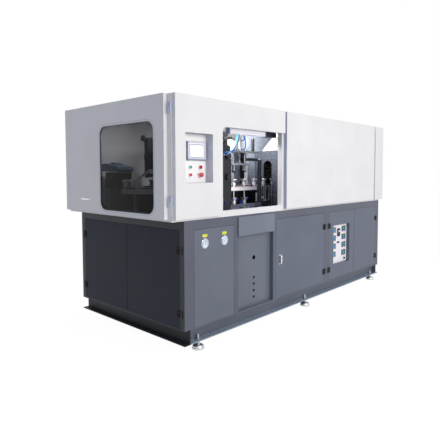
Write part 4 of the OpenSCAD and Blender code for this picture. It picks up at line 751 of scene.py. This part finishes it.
def cable_trunking():
    """Slotted trunking at the back of the station's lower half: two walls of tines and a lid."""
    left, right, tine, pitch, tines = 905, 1770, 14, 19.6, 44
    foot, rim, lid = DECK + 40, 1276, 1282
    mesh = bmesh.new()
    for y in (700, 742):
        block(mesh, (left, y, DECK + 1), (right, y + 3, foot), 0.5)
        for i in range(tines):
            x = left + 3 + pitch * i
            block(mesh, (x, y, foot), (x + tine, y + 3, rim), 0.5)
        block(mesh, (left, y, rim), (right, y + 3, lid), 0.5)
    block(mesh, (left - 2, 699, lid), (right + 2, 746, lid + 6), 1)
    put("cable_trunking", mesh, BLACK_PLASTIC)


def cover_gap_shade():
    """A slate strip between the operator panel and the front cover, painted shade in the gap between them."""
    (x0, y0, z0), (_, _, z1) = span("front_cover")
    mesh = bmesh.new()
    block(mesh, (x0 - 2, y0 + 0.6, z0 + 1), (x0 - 0.1, -1, z1 - 4), 0.3)
    put("cover_gap_shade", mesh, GAP_SHADE)


def rail_strip():
    """The red wear strip along the front edge of the chain's rail."""
    (_, y0, _), (_, _, top) = span("chain_rail")
    mesh = bmesh.new()
    block(mesh, (880, y0 + 2, top), (1545, y0 + 12, top + 2.4), 0.5)
    put("rail_wear_strip", mesh, RED_STRIP)


def sheet_edges():
    """Bright folded edges of the guard sheets, and the rubber edge round the oven's arch."""
    edges = bmesh.new()
    for x in (1405, 1527, 1642, 1764):
        block(edges, (x, 752.5, DECK + 0.5), (x + 3, 755.2, 1657), 0.4)
    put("guard_edges", edges, ALUMINIUM)
    foot_z, leg, inner, outer = span("chain_rail")[1][2], 232, 56.5, 60
    arch = bmesh.new()
    corners = [(1777.5, inner), (1779.8, inner), (1779.8, outer), (1777.5, outer)]
    foot = arch.faces.new([arch.verts.new(at(x, RUN_Y + y, foot_z)) for x, y in corners])
    shoulder = thicken(arch, [foot], UP * leg)
    bend = bmesh.ops.spin(arch, geom=shoulder, cent=at(0, RUN_Y, foot_z + leg), axis=(1, 0, 0), angle=math.pi,
                          steps=14)["geom_last"]
    thicken(arch, bend, -UP * leg)
    put("arch_edge", arch, RUBBER)


# End window: a painted highlight round it, and what stands behind the smoked sheet


def window_edge_highlight():
    """A pale frame on the door's outer face, round the window's seal: a painted highlight on the edge of its
    cut-out.
    """
    (_, y0, z0), (_, y1, z1) = span("window_seal")
    face_x, rim = span("window_door")[0][0], 6
    mesh = bmesh.new()
    round_plate(mesh, (face_x - 1.2, y0 - rim, z0 - rim), (face_x, y1 + rim, z1 + rim), 95, LEFT, rim, 10)
    put("window_edge_highlight", mesh, RIM_HIGHLIGHT, "window_door")


def behind_window():
    """Rear clamp cylinder, rotary drive and sensor: dark shapes that the smoked sheet half hides."""
    rear = bmesh.new()
    block(rear, (372, 952, 1400), (846, 1010, 1790), 6)
    block(rear, (366, 958, 1410), (373, 970, 1780), 2)
    turned(rear, [(0, 30), (24, 30), (30, 24), (30, 6), (22, 0), (0, 0)], (372, 1000, 1785), LEFT)
    turned(rear, [(0, 18), (12, 18), (16, 12), (12, 0), (0, 0)], (372, 985, 1600), LEFT, 24)
    put("rear_clamp_cylinder", rear, BLACK_ENAMEL)
    case = bmesh.new()
    prism(case, [(1420, 1462), (1420, 1532), (1345, 1540), (1150, 1506), (1128, 1478), (1180, 1452)],
          150, 335)
    prism(case, [(1330, 1538), (1318, 1552), (1270, 1546), (1240, 1522)], 200, 280)
    put("rotary_drive_case", case, SLATE_BLUE)
    base = bmesh.new()
    block(base, (158, 1150, 1380), (325, 1372, 1450), 10)
    block(base, (170, 1160, DECK), (315, 1396, 1378), 4)
    for y in (1190, 1250):
        turned(base, [(0, 10), (14, 10), (14, 0), (0, 0)], (158, y, 1415), LEFT, 20)
    put("rotary_drive_base", base, BLACK_ENAMEL)
    bracket = bmesh.new()
    block(bracket, (40, 1112, DECK), (64, 1165, 1300), 3)
    block(bracket, (40, 1100, 1204), (60, 1112, 1300), 2)
    put("drive_bracket", bracket, BEAM_GREEN)
    skirt = bmesh.new()
    block(skirt, (30, 1084, DECK + 1), (1000, 1087, 1288))
    for x in range(60, 1110, 210):
        block(skirt, (x, 1087, DECK + 1), (x + 12, 1100, 1280), 1)
    put("ring_skirt", skirt, BEAM_GREEN)
    sensor = bmesh.new()
    prism(sensor, [(960, 1384), (940, 1384), (770, 1446), (742, 1470), (742, 1482), (775, 1474)], 240, 252)
    block(sensor, (232, 745, 1440), (300, 772, 1480), 3)
    put("sensor_head", sensor, WHITE_BLOCK)


# Rear panels, which the photograph doesn't show


def rear_panel_details():
    """Two rows of screws along the rear panels and a blank rating plate."""
    (x0, _, z0), (x1, y1, z1) = span("fixed_panels")
    columns = [x0 + 45 + (x1 - x0 - 100) * i / 8 for i in range(9)]
    screws("rear_panel_screws", [(x, y1, z) for x in columns for z in (z0 + 40, z1 - 40)], REAR, 6, ZINC)
    plate = bmesh.new()
    block(plate, (x1 - 760, y1, 760), (x1 - 600, y1 + 1.2, 860), 0.4)
    put("blank_rating_plate", plate, BRUSHED)


# Stage: a pale floor under a white surround, a large soft key from the front, and the world as fill


def camera_sees(material):
    """1 where a camera, glossy or transmission ray meets the surface, else 0."""
    rays = add(material, "ShaderNodeLightPath").outputs
    first = {0: rays["Is Camera Ray"], 1: rays["Is Glossy Ray"]}
    either = add(material, "ShaderNodeMath", first, operation="MAXIMUM").outputs[0]
    second = {0: either, 1: rays["Is Transmission Ray"]}
    return add(material, "ShaderNodeMath", second, operation="MAXIMUM").outputs[0]


def make_world(fill):
    """White where it is seen, and a slightly cool fill light on the machine."""
    world = bpy.data.worlds.new("studio")
    bpy.context.scene.world = world
    world.use_nodes = True
    cool = [c * fill for c in (0.93, 0.97, 1.15)] + [1]
    shades = {"Factor": camera_sees(world), "A": cool, "B": (1, 1, 1, 1)}
    shade = add(world, "ShaderNodeMix", shades, data_type="RGBA").outputs["Result"]
    wire(world, world.node_tree.nodes["Background"], {"Color": shade})


def make_floor():
    """A matt floor, nearly as bright as the surround where it is seen: only soft shadows show on it."""
    mesh = bmesh.new()
    bmesh.ops.create_grid(mesh, x_segments=1, y_segments=1, size=30)
    data = bpy.data.meshes.new("floor")
    mesh.to_mesh(data)
    mesh.free()
    floor = bpy.data.objects.new("floor", data)
    bpy.context.scene.collection.objects.link(floor)
    material = bpy.data.materials.new("pale studio floor")
    material.use_nodes = True
    shader = material.node_tree.nodes["Principled BSDF"]
    wire(material, shader, {"Base Color": (0.6, 0.6, 0.6, 1), "Roughness": 0.9})
    glow = add(material, "ShaderNodeEmission", {"Strength": 1.06})
    seen = add(material, "ShaderNodeMath", {0: camera_sees(material), 1: 0.92}, operation="MULTIPLY")
    parts = {0: seen.outputs[0], 1: shader.outputs["BSDF"], 2: glow.outputs["Emission"]}
    mixed = add(material, "ShaderNodeMixShader", parts).outputs["Shader"]
    wire(material, material.node_tree.nodes["Material Output"], {"Surface": mixed})
    data.materials.append(material)


def make_light(name, place, target, size, power, colour=(1, 1, 1), spread=180):
    """A round area light, in metres and watts, that faces its target."""
    light = bpy.data.lights.new(name, "AREA")
    light.color = colour
    light.shape = "DISK"
    light.size = size
    light.energy = power
    light.spread = math.radians(spread)
    lamp = bpy.data.objects.new(name, light)
    lamp.location = place
    lamp.rotation_euler = (Vector(target) - Vector(place)).to_track_quat("-Z", "Y").to_euler()
    bpy.context.scene.collection.objects.link(lamp)


def make_lights():
    """Studio lights outside, and small ones under the roof that stand for the machine's own lamps."""
    make_light("key", (-0.5, -8.0, 3.2), (0, 0, 1.0), 4.0, 345, (1.0, 0.96, 0.89))
    make_light("top", (0, 0, 7), (0, 0, 1), 5.0, 150)
    make_light("inside left", (-0.75, -0.45, 1.94), (-0.5, 0.1, 1.2), 0.22, 9)
    make_light("inside right", (-0.3, -0.2, 1.95), (0.1, -0.05, 1.55), 0.2, 5.5)
    make_light("inside rear", (-1.3, 0.05, 1.95), (-1.35, 0.78, 1.48), 0.2, 1.15, spread=80)
    make_light("inside wall", (1.3, 0.37, 1.97), (1.45, 0.78, 1.86), 0.16, 4)


make_camera()
air_hoses()
touch_screen()
recess_shades()
label_plates()
gauges()
hose_grommets()
heater_controls()
hinge_screws()
work_lamp()
station_details()
post_caps()
lower_fittings()
air_treatment()
cable_trunking()
cover_gap_shade()
rail_strip()
sheet_edges()
window_edge_highlight()
behind_window()
rear_panel_details()
make_world(0.42)
make_floor()
make_lights()
bpy.context.scene.view_settings.view_transform = "Standard"
